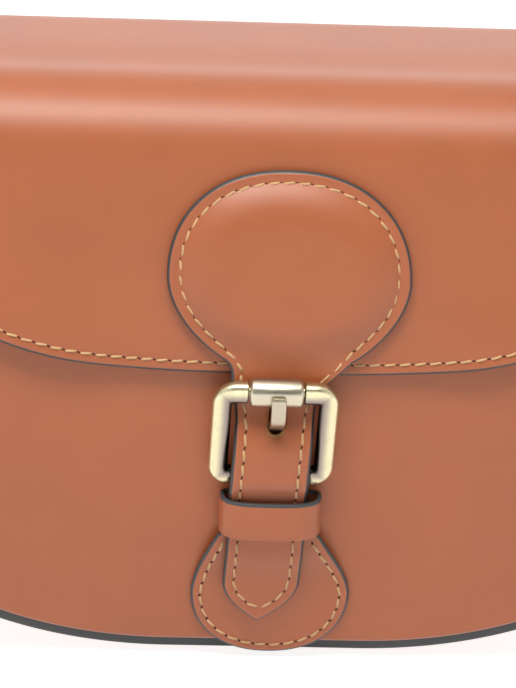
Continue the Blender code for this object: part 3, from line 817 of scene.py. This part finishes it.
def strap_half():
    """The right half of strap and tab, from the tip up to the top of the keyhole."""
    half = [(0, strap_tip_z)]
    for share in np.linspace(0, 1, 26)[1:]:
        z = strap_tip_z + (strap_shoulder_z - strap_tip_z) * share
        half.append((strap_half_width * (1 - (1 - share) ** tip_power), z))
    for z in np.linspace(strap_shoulder_z, neck_end_z, 50)[1:-1]:
        half.append((strap_half_width, z))
    leave_z = tab_widest_z - tab_low_half * neck_leave_share
    turn = 180 - math.degrees(math.asin((leave_z - neck_end_z) / neck_radius))
    half += arc((strap_half_width + neck_radius, neck_end_z), neck_radius, 180, turn, 16)
    for angle in np.linspace(0, math.pi / 2, 44):
        x = tab_half_width * math.sin(angle) ** (2 / tab_low_power)
        z = tab_widest_z - tab_low_half * math.cos(angle) ** (2 / tab_low_power)
        if z > leave_z and x > half[-1][0] + point_gap:
            half.append((x, z))
    for angle in np.linspace(math.pi / 2, 0, 44)[1:-1]:
        reach = tab_half_width * math.sin(angle) ** (2 / tab_high_power)
        rise = (tab_top_z - tab_widest_z) * math.cos(angle) ** (2 / tab_high_power)
        half.append((reach, tab_widest_z + rise))
    return [*half, (0, tab_top_z)]


def tab_dome(x, z, inset):
    """The pad's dome: steep just inside the stitches, nearly flat in the middle, gone at the strap."""
    share = np.clip((inset - dome_start) / dome_run, 0, 1)
    return dome_height * (1 - (1 - share) ** dome_power) * ramp(z, *dome_heights)


def tab_lift(x, z, inset):
    return tab_dome(x, z, inset) - groove(inset, stitch_inset, groove_depth) + creased(x, z, inset)


raw_cut = leather("raw_cut", (0.50, 0.27, 0.10), cloud=0.1, gloss=0.6, grain=0.5)
cut_hides = (*hides, raw_cut)
strap_right = strap_half()
strap_hole = arc((0, hole_high_z), strap_hole_half, 90, 0, 10)
strap_hole += arc((0, hole_low_z), strap_hole_half, 0, -90, 10)
strap_mesh = leather_mesh(
    strap_right,
    strap_place,
    0,
    strap_thickness,
    pitch=0.0009,
    hole=strap_hole,
    over=tab_lift,
    under=tab_dome,
    rings=stitched_rings[:-2],
)
strap_nodes = ("closure_tab", "strap")
piece("closure_tab_and_strap", strap_mesh, cut_hides, "flap_assembly", "tan_leather", *strap_nodes)


def strap_surface(x, z):
    return strap_thickness + tab_lift(x, z, np.full(len(x), stitch_inset))


def softened(line, rounds):
    """A closed line with its corners eased."""
    points = np.array(line)
    for _ in range(rounds):
        points = (np.roll(points, 1, axis=0) + 2 * points + np.roll(points, -1, axis=0)) / 4
    return [tuple(point) for point in [*points, points[0]]]


strap_seam = inside_line(both_sides(strap_right), stitch_inset, lambda x, z: True)
strap_seam = softened(strap_seam, rounds=40)
sewn("tab_and_strap_stitching", strap_seam, strap_place, strap_surface, "flap_assembly")

# The tab's padding: a shaped piece of pressed foam between the flap and the tab, never seen.
# It fills the dome and is held by the stitches round it.
foam = leather("pressed_foam", (0.75, 0.72, 0.66), cloud=0.05, gloss=0.9, grain=0.4)
pad_gap = 0.0005
pad_low_z = 0.0905
pad_edge = 0.0050


def pad_half():
    """The right half of the pad: the tab's own curve, drawn in."""
    line = inside_line(both_sides(strap_right), pad_edge, lambda x, z: x > 0 and z > pad_low_z)
    line.sort(key=lambda point: point[1])
    return [(0, line[0][1]), *line, (0, tab_top_z - pad_edge)]


def pad_lift(x, z, inset):
    tab_inset = edge_distance(np.stack([x, z], axis=1), both_sides(strap_right))
    return tab_dome(x, z, tab_inset) - 2 * pad_gap


pad_mesh = leather_mesh(pad_half(), strap_place, 0, pad_gap, pitch=0.002, over=pad_lift, paint=0)
pad = piece("tab_foam", pad_mesh, (foam,), "flap_assembly", "padding", "tab_padding")

# The chape: a drop-shaped patch sewn to the front, whose neck runs up under the keeper and the
# strap, folds round the buckle's lower bar with a slot for the prong, and is sewn down behind.
patch_neck_z = 0.0392
patch_widest_z = 0.0212
patch_low_half = 0.0188
patch_low_power = 2.2
patch_close = 0.0080
patch_close_power = 1.46
patch_half_width = 0.0216
patch_right = 0.0012
patch_inset = 0.0027
chape_half_width = 0.0100
chape_neck_half = 0.0117
neck_step_length = 0.0013
fold_lead = 0.0005
return_lead = 0.0012
slot_half = 0.0028
slot_reach = 0.0036
slot_back_reach = 0.0020


def chape_out(z):
    """How far the middle of the chape's leather stands off the front panel, up to the bar."""
    step = (neck_middle - patch_middle) * ramp(z, rise_start_z, rise_end_z)
    fold = chape_bar_out + fold_middle - neck_middle
    return patch_middle + step + fold * ramp(z, keeper_high_z + fold_lead, chape_bar_z)


chape_path = [(z, chape_out(z)) for z in np.linspace(0, chape_bar_z, 90)[:-1]]
for out, rise in arc((0, 0), fold_middle, 0, 180, 24):
    chape_path.append((chape_bar_z + rise, chape_bar_out + out))
turned_out = chape_bar_out - fold_middle
return_length = chape_bar_z - keeper_high_z - return_lead
for share in np.linspace(0, 1, 10)[1:]:
    out = turned_out + (patch_middle - turned_out) * share
    chape_path.append((chape_bar_z - return_length * share, out))
chape_line = np.array([on_front(z, out) for z, out in chape_path])
chape_lengths = run_lengths(chape_line)
chape_flat_place = line_place(chape_line)


def chape_length(z):
    return float(np.interp(z, [point[0] for point in chape_path[:90]], chape_lengths[:90]))


patch_shift_lengths = (chape_length(patch_widest_z), chape_length(keeper_low_z))


def chape_place(x, s, out):
    """The patch was sewn on a little to the right of the strap."""
    return chape_flat_place(x + patch_right * (1 - ramp(s, *patch_shift_lengths)), s, out)


def chape_half():
    half = [(0, patch_widest_z - patch_low_half)]
    for angle in np.linspace(0, math.pi / 2, 40)[1:]:
        x = patch_half_width * math.sin(angle) ** (2 / patch_low_power)
        half.append((x, patch_widest_z - patch_low_half * math.cos(angle) ** (2 / patch_low_power)))
    for share in np.linspace(0, 1, 24)[1:]:
        x = patch_half_width - patch_close * share**patch_close_power
        half.append((x, patch_widest_z + (patch_neck_z - patch_widest_z) * share))
    half.append((chape_neck_half, patch_neck_z + neck_step_length))
    half.append((chape_neck_half, (keeper_low_z + keeper_high_z) / 2))
    half.append((chape_half_width, keeper_high_z))
    laid = [(x, chape_length(z)) for x, z in half]
    return [*laid, (chape_half_width, chape_lengths[-1]), (0, chape_lengths[-1])]


slot_low = chape_length(chape_bar_z) - slot_reach
slot_high = chape_length(chape_bar_z) + math.pi * fold_middle + slot_back_reach
prong_slot = [(0, slot_high), (slot_half, slot_high), (slot_half, slot_low), (0, slot_low)]
chape_right = chape_half()
chape_face = chape_leather / 2
chape_mesh = leather_mesh(
    chape_right, chape_place, -chape_face, chape_face, pitch=0.0010, hole=prong_slot
)
piece("chape_leather", chape_mesh, cut_hides, "bag", "tan_leather", "chape_patch")


def patch_surface(x, s):
    return np.full(len(x), chape_face)


neck_length = chape_length(patch_neck_z)
patch_seam = inside_line(both_sides(chape_right), patch_inset, lambda x, s: s < neck_length)
patch_seam = round_from(patch_seam, chape_length(patch_widest_z))
sewn("patch_stitching", patch_seam, chape_place, patch_surface, "bag")

# The keeper: a closed loop of tan calf round the chape's neck and the strap, bowed out in front by
# the strap. Only its upper rim is painted.
keeper_half_width = 0.0137
keeper_front = 0.0100
keeper_waist = 0.0035
keeper_front_power = 2 / 3
keeper_back_power = 2 / 5
keeper_squareness = 0.3
keeper_rim = 0.0007
keeper_slip = 0.0019
keeper_droop = 0.0005
keeper_z = (keeper_low_z + keeper_high_z) / 2 + keeper_slip
keeper_half_height = (keeper_high_z - keeper_low_z) / 2
keeper_face = keeper_leather / 2


def keeper_loop():
    """The loop's middle line from above, as (across, out): bowed in front, flat behind."""
    loop = []
    for angle in np.linspace(0, 2 * math.pi, 120, endpoint=False):
        c, s = math.cos(angle), math.sin(angle)
        power, reach = keeper_back_power, keeper_waist - seam_gap - keeper_face
        if s > 0:
            power, reach = keeper_front_power, keeper_front - keeper_face - keeper_waist
        x = (keeper_half_width - keeper_face) * math.copysign(abs(c) ** power, c)
        loop.append((x, keeper_waist + reach * math.copysign(abs(s) ** power, s)))
    return loop


def keeper_mesh():
    loop = keeper_loop()

    def place(along, around):
        spot, way = evenly(loop, along, closed=True)
        turn = around * 2 * math.pi
        wide, thick = round_box(turn, keeper_half_height, keeper_face, keeper_squareness)
        x = spot[:, 0] + thick * way[:, 1]
        out = spot[:, 1] - thick * way[:, 0]
        return np.stack([x, keeper_z + wide, out], axis=1)

    bm = wrapped(160, 40, place)
    for face in bm.faces:
        high = face.calc_center_median().y > keeper_z + keeper_half_height - keeper_rim
        face.material_index = int(high)
    flat = np.array([v.co for v in bm.verts])
    to_front = (flat[:, 2] - keeper_waist) / (keeper_front - keeper_waist)
    flat[:, 1] -= keeper_droop * np.clip(to_front, 0, 1)
    for vert, spot in zip(bm.verts, front_place(*flat.T)):
        vert.co = spot
    return bm


piece("keeper_loop", keeper_mesh(), hides, "bag", "tan_leather", "keeper")

# The buckle frame: cast brass, brushed and then darkened with patina, one ring whose lower bar and
# roller axle are thin round bars and whose sides and shoulders are cushioned flats. Painted shade,
# grey and then near black, darkens the inner halves of its bars.
axle_radius = 0.0016
frame_bar_x = 0.0141
side_radius = 0.0026
shoulder_radius = 0.0030
side_start_share = 0.92
shoulder_end_share = 0.93
side_squareness = 0.8
shoulder_squareness = 0.78
high_corner = 0.0038
low_corner = 0.0031
frame_lean = 0.0005
frame_flat_share = 0.80
shoulder_step = 0.0004
chape_bar_half = 0.0104
roller_length = 0.0140
roller_out = tab_inner + strap_thickness + seam_gap + roller_radius
axle_half = roller_length / 2 + seam_gap
bar_spot = np.array([0, *on_front(chape_bar_z, chape_bar_out)])
axle_spot = np.array([0, *on_front(roller_z, roller_out)])
frame_height = np.linalg.norm(axle_spot - bar_spot)
frame_up = (axle_spot - bar_spot) / frame_height
frame_out = np.array([0, -frame_up[2], frame_up[1]])
sideways = np.array([1, 0, 0])
brass_colour = (0.70, 0.65, 0.42)
patina_colour = (0.20, 0.15, 0.07, 1)
# Painted shade for the inner halves of the frame's bars: grey first, then near black.
painted_grey_shade_colour = (0.30, 0.25, 0.22, 1)
painted_dark_shade_colour = (0.02, 0.017, 0.014, 1)


def metal_surface():
    """A group that gives cast metal fine brushed lines, a dark patina in the low places, stains, and
    painted shade.
    """
    takes = {"Metal": "Color", "Patina": "Color", "Brush": "Vector", "Painted Shade": "Float"}
    group, inside, where = surface_group("metal_surface", takes)
    drawn = add_node(group, "ShaderNodeVectorMath", where, inside["Brush"], operation="MULTIPLY")
    brushed = add_node(group, "ShaderNodeTexNoise", vector=drawn, scale=1, detail=4, roughness=0.7)
    lines = brushed.outputs["Fac"]
    stained = add_node(group, "ShaderNodeTexNoise", vector=where, scale=420, detail=4, roughness=0.6)
    stains = stained.outputs["Fac"]
    edges = group.nodes.new("ShaderNodeNewGeometry").outputs["Pointiness"]
    low_places = add_node(group, "ShaderNodeMapRange", value=edges, from_min=0.52, from_max=0.44)
    blots = add_node(group, "ShaderNodeMapRange", value=stains, from_min=0.5, from_max=0.75, to_max=0.18)
    dark = add_node(
        group, "ShaderNodeMath", low_places, 0.35, blots, operation="MULTIPLY_ADD", use_clamp=True
    )
    shown = mixed(group, dark, inside["Metal"], inside["Patina"])
    # Painted shade: the part's attribute fades the metal to grey, then to near black. A part without the
    # attribute reads 0 and takes some of the grey.
    for start, end, colour in ((-0.4, 0.5, painted_grey_shade_colour), (0.45, 0.9, painted_dark_shade_colour)):
        share = add_node(group, "ShaderNodeMapRange", interpolation_type="SMOOTHSTEP")
        feed_named(group, share, value=inside["Painted Shade"], from_min=start, from_max=end)
        shown = mixed(group, share, shown, colour)
    rough = add_node(group, "ShaderNodeMapRange", value=lines, from_min=0.3, from_max=0.7)
    feed_named(group, rough, to_min=0.26, to_max=0.42)
    bump = bumped(group, lines, distance=0.00004, strength=0.35)
    add_node(group, "NodeGroupOutput", shown, rough, bump)
    return group


metal_group = metal_surface()


def brass(name, metal, brush):
    """Brass with the metal group's surface, brushed along the axis with the smallest scale."""
    made, tree, shader = new_material(name)
    # Where the part has the attribute, it sets how much painted shade the metal takes.
    painted_shade_share = add_node(tree, "ShaderNodeAttribute", attribute_name="painted_shade_share").outputs["Fac"]
    surface = add_node(
        tree, "ShaderNodeGroup", (*metal, 1), patina_colour, brush, painted_shade_share, node_tree=metal_group
    )
    dress(tree, shader, surface, metallic=1)
    return made


frame_brass = brass("brass_brushed_upright", brass_colour, (2600, 2600, 180))


def bar_mesh(spots, asides, outs, half_aside, half_out, squareness, rows):
    """A bar with a soft-cornered box section at each station, closed at its ends or on itself."""
    last = len(spots) - 1

    def place(along, around):
        at = np.rint(along * last).astype(int)
        turn = around * 2 * math.pi
        wide, thick = round_box(turn, half_aside[at], half_out[at], squareness[at])
        return spots[at] + wide[:, None] * asides[at] + thick[:, None] * outs[at]

    return wrapped(last, rows, place)


def frame_mesh():
    half = [(x, 0, chape_bar_radius, 1) for x in np.linspace(0, chape_bar_half, 8)]
    half.append((chape_bar_half + shoulder_step / 2, 0, side_radius * side_start_share, side_squareness))
    half.append((chape_bar_half + shoulder_step, 0, side_radius, side_squareness))
    for x, z in arc((frame_bar_x - low_corner, low_corner), low_corner, -90, 0, 8)[1:]:
        half.append((x, z, side_radius, side_squareness))
    for z in np.linspace(low_corner, frame_height - high_corner, 14)[1:-1]:
        half.append((frame_bar_x, z, side_radius, side_squareness))
    centre = (frame_bar_x - high_corner, frame_height - high_corner)
    for k, (x, z) in enumerate(arc(centre, high_corner, 0, 90, 10)):
        radius = side_radius + (shoulder_radius - side_radius) * k / 10
        half.append((x, z, radius, shoulder_squareness))
    ease = shoulder_radius * shoulder_end_share
    half.append((axle_half + shoulder_step, frame_height, shoulder_radius, shoulder_squareness))
    half.append((axle_half + shoulder_step / 2, frame_height, ease, side_squareness))
    half.append((axle_half, frame_height, axle_radius, 1))
    half.append((0, frame_height, axle_radius, 1))
    ring = np.array(half + [(-x, z, radius, soft) for x, z, radius, soft in half[-2:0:-1]])
    ahead = np.roll(ring, -1, axis=0)[:, :2] - np.roll(ring, 1, axis=0)[:, :2]
    ahead /= np.linalg.norm(ahead, axis=1)[:, None]
    ring = np.vstack([ring, ring[:1]])
    ahead = np.vstack([ahead, ahead[:1]])
    spots = bar_spot + ring[:, :1] * sideways + ring[:, 1:2] * frame_up
    asides = ahead[:, 1:2] * sideways - ahead[:, :1] * frame_up
    outs = np.tile(frame_out, (len(ring), 1))
    bm = bar_mesh(spots, asides, outs, ring[:, 2], ring[:, 2] * frame_flat_share, ring[:, 3], 40)
    painted_shade_share = bm.verts.layers.float.new("painted_shade_share")
    # The painted shade's share: 0 along the middle of the bars, rising towards their inner side.
    for vert in bm.verts:
        rise = (np.array(vert.co) - bar_spot) @ frame_up
        inwards = min(frame_bar_x - abs(vert.co.x), frame_height / 2 - abs(rise - frame_height / 2))
        vert[painted_shade_share] = inwards / side_radius
        vert.co.x -= frame_lean * (1 - rise / frame_height)
    return bm


piece("buckle_frame_cast", frame_mesh(), (frame_brass,), "buckle", "antique_brass", "buckle_frame")

# The roller: a short turned tube with chamfered ends, loose on the frame's axle. The strap runs
# under it and rubs its middle bright; the whole tube is drawn in one brass, a little paler than the
# frame's.
roller_chamfer = 0.0006
roller_ease = 0.0001
roller_play = 0.0004
roller_bore = axle_radius + roller_play
roller_outer = 0.00385
roller_end = roller_length / 2
roller_brass = brass("roller_brass", (0.72, 0.67, 0.50), (150, 2200, 2200))


def turned(profile, centre, steps):
    """A shape turned on a lathe from a profile of (along, radius) points, about a line along X."""
    bm = bmesh.new()
    verts = [bm.verts.new((x, 0, radius)) for x, radius in profile]
    for start, end in zip(verts, verts[1:]):
        bm.edges.new((start, end))
    drawn = bm.verts[:] + bm.edges[:]
    spin = {"cent": (0, 0, 0), "axis": (1, 0, 0), "angle": 2 * math.pi, "steps": steps}
    bmesh.ops.spin(bm, geom=drawn, use_merge=True, **spin)
    bmesh.ops.remove_doubles(bm, verts=bm.verts, dist=weld_gap)
    bmesh.ops.translate(bm, verts=bm.verts, vec=centre)
    return bm


roller_right = [
    (roller_end - roller_chamfer - roller_ease, roller_outer),
    (roller_end - roller_chamfer, roller_outer - roller_ease * 0.3),
    (roller_end - roller_ease / 2, roller_outer - roller_chamfer),
    (roller_end, roller_outer - roller_chamfer - roller_ease),
    (roller_end, roller_bore),
]
roller_line = [(-x, radius) for x, radius in reversed(roller_right)] + roller_right
roller_mesh = turned([*roller_line, roller_line[0]], axle_spot, 72)
piece("roller_tube", roller_mesh, (roller_brass,), "buckle_roller", "antique_brass", "roller")

# The prong: a bent brass bar with an eye round the lower bar. It comes up through the strap's hole
# and rests its rounded tip on the roller.
prong_half_width = 0.0020
prong_shift = 0.0005
prong_thickness = 0.0022
prong_squareness = 0.4
prong_tip_length = 0.0006
prong_tip_share = 0.8
prong_stations = 60
eye_wall = 0.0012
eye_edge = 0.00025
eye_inner = chape_bar_radius + bar_clearance
eye_outer = eye_inner + eye_wall
prong_length = roller_z - chape_bar_z
prong_rise = roller_out + roller_radius + seam_gap + prong_thickness / 2 - chape_bar_out
prong_up_shares = (0, 0.20, 0.40, 0.51, 0.57, 0.625, 0.68, 0.76, 0.88, 1)
prong_out_shares = (0, 0.01, 0.02, 0.04, 0.14, 0.42, 0.70, 0.90, 0.99, 1)
prong_brass = brass("prong_brass", (0.58, 0.52, 0.38), (2600, 2600, 150))


def prong_mesh():
    bends = zip(prong_up_shares, prong_out_shares)
    line = [
        on_front(chape_bar_z + prong_length * rise, chape_bar_out + prong_rise * out) for rise, out in bends
    ]
    line = np.array(line)
    for _ in range(3):
        nearer, further = line[:-1] * 0.75 + line[1:] * 0.25, line[:-1] * 0.25 + line[1:] * 0.75
        line = np.vstack([line[:1], np.stack([nearer, further], axis=1).reshape(-1, 2), line[-1:]])
    shares = np.linspace(0, 1, prong_stations)
    spots, ways = evenly(line, shares)
    from_tip = (1 - shares) * run_lengths(line)[-1]
    tip = np.clip(1 - np.clip(1 - from_tip / prong_tip_length, 0, 1) ** 3, prong_tip_share, 1)
    nothing = np.zeros(prong_stations)
    spots = np.stack([nothing, *spots.T], axis=1)
    outs = np.stack([nothing, -ways[:, 1], ways[:, 0]], axis=1)
    asides = np.tile(sideways, (prong_stations, 1))
    wide = prong_half_width * tip
    thick = prong_thickness / 2 * tip
    bm = bar_mesh(spots, asides, outs, wide, thick, np.full(prong_stations, prong_squareness), 32)
    eye = [
        (prong_half_width - eye_edge, eye_inner),
        (prong_half_width, eye_inner + eye_edge),
        (prong_half_width, eye_outer - eye_edge),
        (prong_half_width - eye_edge, eye_outer),
    ]
    eye += [(-x, radius) for x, radius in reversed(eye)]
    ring = turned([*eye, eye[0]], bar_spot, 40)
    eye_part = bpy.data.meshes.new("eye")
    ring.to_mesh(eye_part)
    ring.free()
    bm.from_mesh(eye_part)
    bpy.data.meshes.remove(eye_part)
    bmesh.ops.translate(bm, verts=bm.verts, vec=(prong_shift, 0, 0))
    return bm


piece("prong_bar", prong_mesh(), (prong_brass,), "buckle_prong", "antique_brass", "prong")

# The side tabs: a strip of tan calf at each end of the bag, folded over the straight bar of a ring
# and held to the gusset by one rivet through both layers.
side_tab_half = 0.0080
side_tab_leather = 0.0016
side_tab_face = side_tab_leather / 2
side_tab_low_z = 0.1080
side_tab_close = 0.0100
side_corner = 0.0034
side_inset = 0.0022
side_groove_depth = 0.00016
side_groove_rise = 0.030
side_seam_rise = 0.0265
ring_wire = 0.0015
ring_bar_z = 0.1430
side_tab_y = (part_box("side_tab_right")[0].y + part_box("side_tab_right")[1].y) / 2
side_fold = ring_wire + bar_clearance + side_tab_face
tab_back_x = half_width - welt_reveal + seam_gap + side_tab_face
tab_front_x = tab_back_x + side_tab_leather + seam_gap
ring_bar_x = tab_back_x + side_fold
side_path = [(tab_back_x, z) for z in np.linspace(side_tab_low_z, ring_bar_z, 24)[:-1]]
side_path += arc((ring_bar_x, ring_bar_z), side_fold, 180, 0, 20)
side_bulge = ring_bar_x + side_fold - tab_front_x
for z in np.linspace(ring_bar_z, side_tab_low_z, 30)[1:]:
    side_path.append((tab_front_x + side_bulge * ramp(z, ring_bar_z - side_tab_close, ring_bar_z), z))
side_line = np.array(side_path)
side_length = run_lengths(side_line)[-1]
side_flat_place = line_place(side_line)
bag_ends = ((1, "right"), (-1, "left"))


def side_half():
    half = arc((side_tab_half - side_corner, side_corner), side_corner, -90, 0, 6)
    straight = np.linspace(side_corner, side_length - side_corner, 70)
    half += [(side_tab_half, s) for s in straight[1:-1]]
    half += arc((side_tab_half - side_corner, side_length - side_corner), side_corner, 0, 90, 6)
    return [(0, 0), *half, (0, side_length)]


def side_tab_lift(x, s, inset):
    sewn_part = groove(inset, side_inset, side_groove_depth) * (s > side_length - side_groove_rise)
    return creased(x, s, inset) - sewn_part


def side_surface(x, s):
    return side_tab_face + side_tab_lift(x, s, np.full(len(x), side_inset))


def side_place(side):
    """The strip's place at one end of the bag: side is 1 at the right and -1 at the left."""

    def place(across, s, out):
        _, x, z = side_flat_place(across, s, out).T
        return np.stack([side * x, side_tab_y + across, z], axis=1)

    return place


side_right = side_half()
side_rings = (*edge_rings, 0.0018, side_inset, 0.0026)
seam_start = side_length - side_seam_rise
side_seam = inside_line(both_sides(side_right), side_inset, lambda x, s: s > seam_start)
side_seam.sort(key=lambda point: math.atan2(point[0], point[1] - seam_start))
side_sheet = {"pitch": 0.0015, "over": side_tab_lift, "rings": side_rings}
for side, word in bag_ends:
    node = f"side_tab_{word}"
    made = leather_mesh(side_right, side_place(side), -side_tab_face, side_tab_face, **side_sheet)
    piece(f"{node}_leather", made, hides, "bag", "tan_leather", node)
    sewn(f"{node}_stitching", side_seam, side_place(side), side_surface, "bag")

# The D-rings: round brass wire bent to a D, its straight bar in the fold of the side tab. A
# shoulder strap's hooks go on them, and they hang a little outwards.
ring_half_width = 0.0115
ring_corner = 0.0030
ring_drop = 0.0155
ring_hang = math.radians(10)
ring_stations = 97
wire_brass = brass("wire_brass", brass_colour, (900, 900, 900))
ring_half = [(0, 0)] + arc((ring_half_width - ring_corner, -ring_corner), ring_corner, 90, 0, 8)
for a in np.linspace(0, math.pi / 2, 18)[1:]:
    ring_half.append((ring_half_width * math.cos(a), -ring_corner - ring_drop * math.sin(a)))
ring_loop = both_sides(ring_half)


def ring_mesh(side):
    spots, ways = evenly(ring_loop, np.linspace(0, 1, ring_stations), closed=True)
    nothing = np.zeros(ring_stations)
    c, s = math.cos(ring_hang), -side * math.sin(ring_hang)
    hung = np.array([[c, 0, s], [0, 1, 0], [-s, 0, c]])
    centres = np.stack([nothing, *spots.T], axis=1) @ hung.T
    asides = np.stack([nothing, ways[:, 1], -ways[:, 0]], axis=1) @ hung.T
    outs = np.tile(hung @ sideways, (ring_stations, 1))
    centres += np.array([side * ring_bar_x, side_tab_y, ring_bar_z])
    wire = np.full(ring_stations, ring_wire)
    return bar_mesh(centres, asides, outs, wire, wire, np.ones(ring_stations), 20)


for side, word in bag_ends:
    node = f"d_ring_{word}"
    piece(f"{node}_wire", ring_mesh(side), (wire_brass,), f"{word}_ring", "antique_brass", node)

# The rivets: brass, with a domed head outside and a flat one inside, hammered together through the
# side tab, the gusset and its lining.
rivet_head = 0.0036
rivet_head_height = 0.0010
rivet_head_edge = 0.0001
rivet_flat_share = 0.8
rivet_dome_power = 0.8
rivet_shank = 0.0014
rivet_z = 0.1185
rivet_start = half_width - lining_inset - lining_thickness - seam_gap - rivet_head_height
rivet_end = tab_front_x + side_tab_face + seam_gap / 2
rivet_line = [
    (rivet_start, 0),
    (rivet_start, rivet_head * rivet_flat_share),
    (rivet_start + rivet_head_height, rivet_head),
    (rivet_start + rivet_head_height, rivet_shank),
    (rivet_end, rivet_shank),
    (rivet_end, rivet_head - rivet_head_edge),
]
for a in np.radians(np.linspace(0, 90, 10)):
    radius = rivet_head * math.cos(a) ** rivet_dome_power
    rivet_line.append((rivet_end + rivet_head_height * math.sin(a), radius))
for side, word in bag_ends:
    node = f"rivet_{word}"
    made = turned([(side * x, radius) for x, radius in rivet_line], (0, side_tab_y, rivet_z), 48)
    piece(f"{node}_brass", made, (wire_brass,), "bag", "antique_brass", node)

# Floor and backdrop: one pale sheet that shows white round the bag and keeps its shadow. The light
# is a soft box high in front, with weak ones behind, at the left and at the right.
floor_reach = 8
light_target = Vector((0, 0, 0.09))
floor_bm = bmesh.new()
bmesh.ops.create_grid(floor_bm, x_segments=1, y_segments=1, size=floor_reach)
floor_mesh = bpy.data.meshes.new("floor")
floor_bm.to_mesh(floor_mesh)
floor_bm.free()
floor = bpy.data.objects.new("floor", floor_mesh)
bpy.context.scene.collection.objects.link(floor)


def seen_rays(tree):
    """1 on rays from the camera, from gloss and through glass, 0 on rays that light the object."""
    rays = tree.nodes.new("ShaderNodeLightPath").outputs
    total = rays["Is Camera Ray"]
    for name in ("Is Glossy Ray", "Is Transmission Ray"):
        total = add_node(tree, "ShaderNodeMath", total, rays[name], operation="ADD", use_clamp=True)
    return total


def fading(tree, value, **ends):
    return add_node(tree, "ShaderNodeMapRange", value=value, interpolation_type="SMOOTHSTEP", **ends)


pale, pale_tree, pale_shader = new_material("pale_floor")
floor_where = pale_tree.nodes.new("ShaderNodeTexCoord").outputs["Object"]
away = add_node(pale_tree, "ShaderNodeVectorMath", floor_where, operation="LENGTH").outputs["Value"]
floor_white = fading(pale_tree, away, from_min=0.10, from_max=0.4, to_min=0.86, to_max=1)
floor_seen = add_node(
    pale_tree, "ShaderNodeMath", floor_white, seen_rays(pale_tree), operation="MULTIPLY"
)
feed_named(pale_tree, pale_shader, base_color=(0.70, 0.70, 0.70, 1), roughness=0.9)
feed_named(pale_tree, pale_shader, emission_color=(1, 1, 1, 1), emission_strength=floor_seen)
pale_shader.inputs["Specular IOR Level"].default_value = 0
floor_mesh.materials.append(pale)


def soft_box(name, place, width, depth, power, colour):
    lamp = bpy.data.lights.new(name, "AREA")
    lamp.shape = "RECTANGLE"
    lamp.size = width
    lamp.size_y = depth
    lamp.energy = power
    lamp.color = colour
    obj = bpy.data.objects.new(name, lamp)
    obj.location = place
    obj.rotation_euler = (light_target - Vector(place)).to_track_quat("-Z", "Y").to_euler()
    bpy.context.scene.collection.objects.link(obj)


soft_box("high_box", (-0.15, -0.64, 1.10), width=0.8, depth=0.4, power=13.6, colour=(1, 0.99, 0.97))
soft_box("back_box", (0.0, 0.95, 0.70), width=1.2, depth=0.5, power=1.0, colour=(1, 1, 1))
soft_box("left_box", (-0.9, -1.0, 0.36), width=0.7, depth=0.6, power=1.2, colour=(1, 0.99, 0.97))
soft_box("right_box", (0.9, -1.0, 0.34), width=0.6, depth=0.6, power=0.8, colour=(0.98, 0.99, 1))
world = bpy.data.worlds.new("studio")
world.use_nodes = True
world_tree = world.node_tree
world_where = world_tree.nodes.new("ShaderNodeTexCoord").outputs["Generated"]
world_depth = add_node(world_tree, "ShaderNodeSeparateXYZ", world_where).outputs["Y"]
backdrop = fading(world_tree, world_depth, from_min=-0.9, from_max=-0.1, to_min=0.05, to_max=1)
world_strength = add_node(world_tree, "ShaderNodeMapRange", value=seen_rays(world_tree))
feed_named(world_tree, world_strength, to_min=0.25, to_max=backdrop)
feed_named(world_tree, world_tree.nodes["Background"], color=(1, 1, 1, 1), strength=world_strength)
bpy.context.scene.world = world
bpy.context.scene.view_settings.view_transform = "Standard"
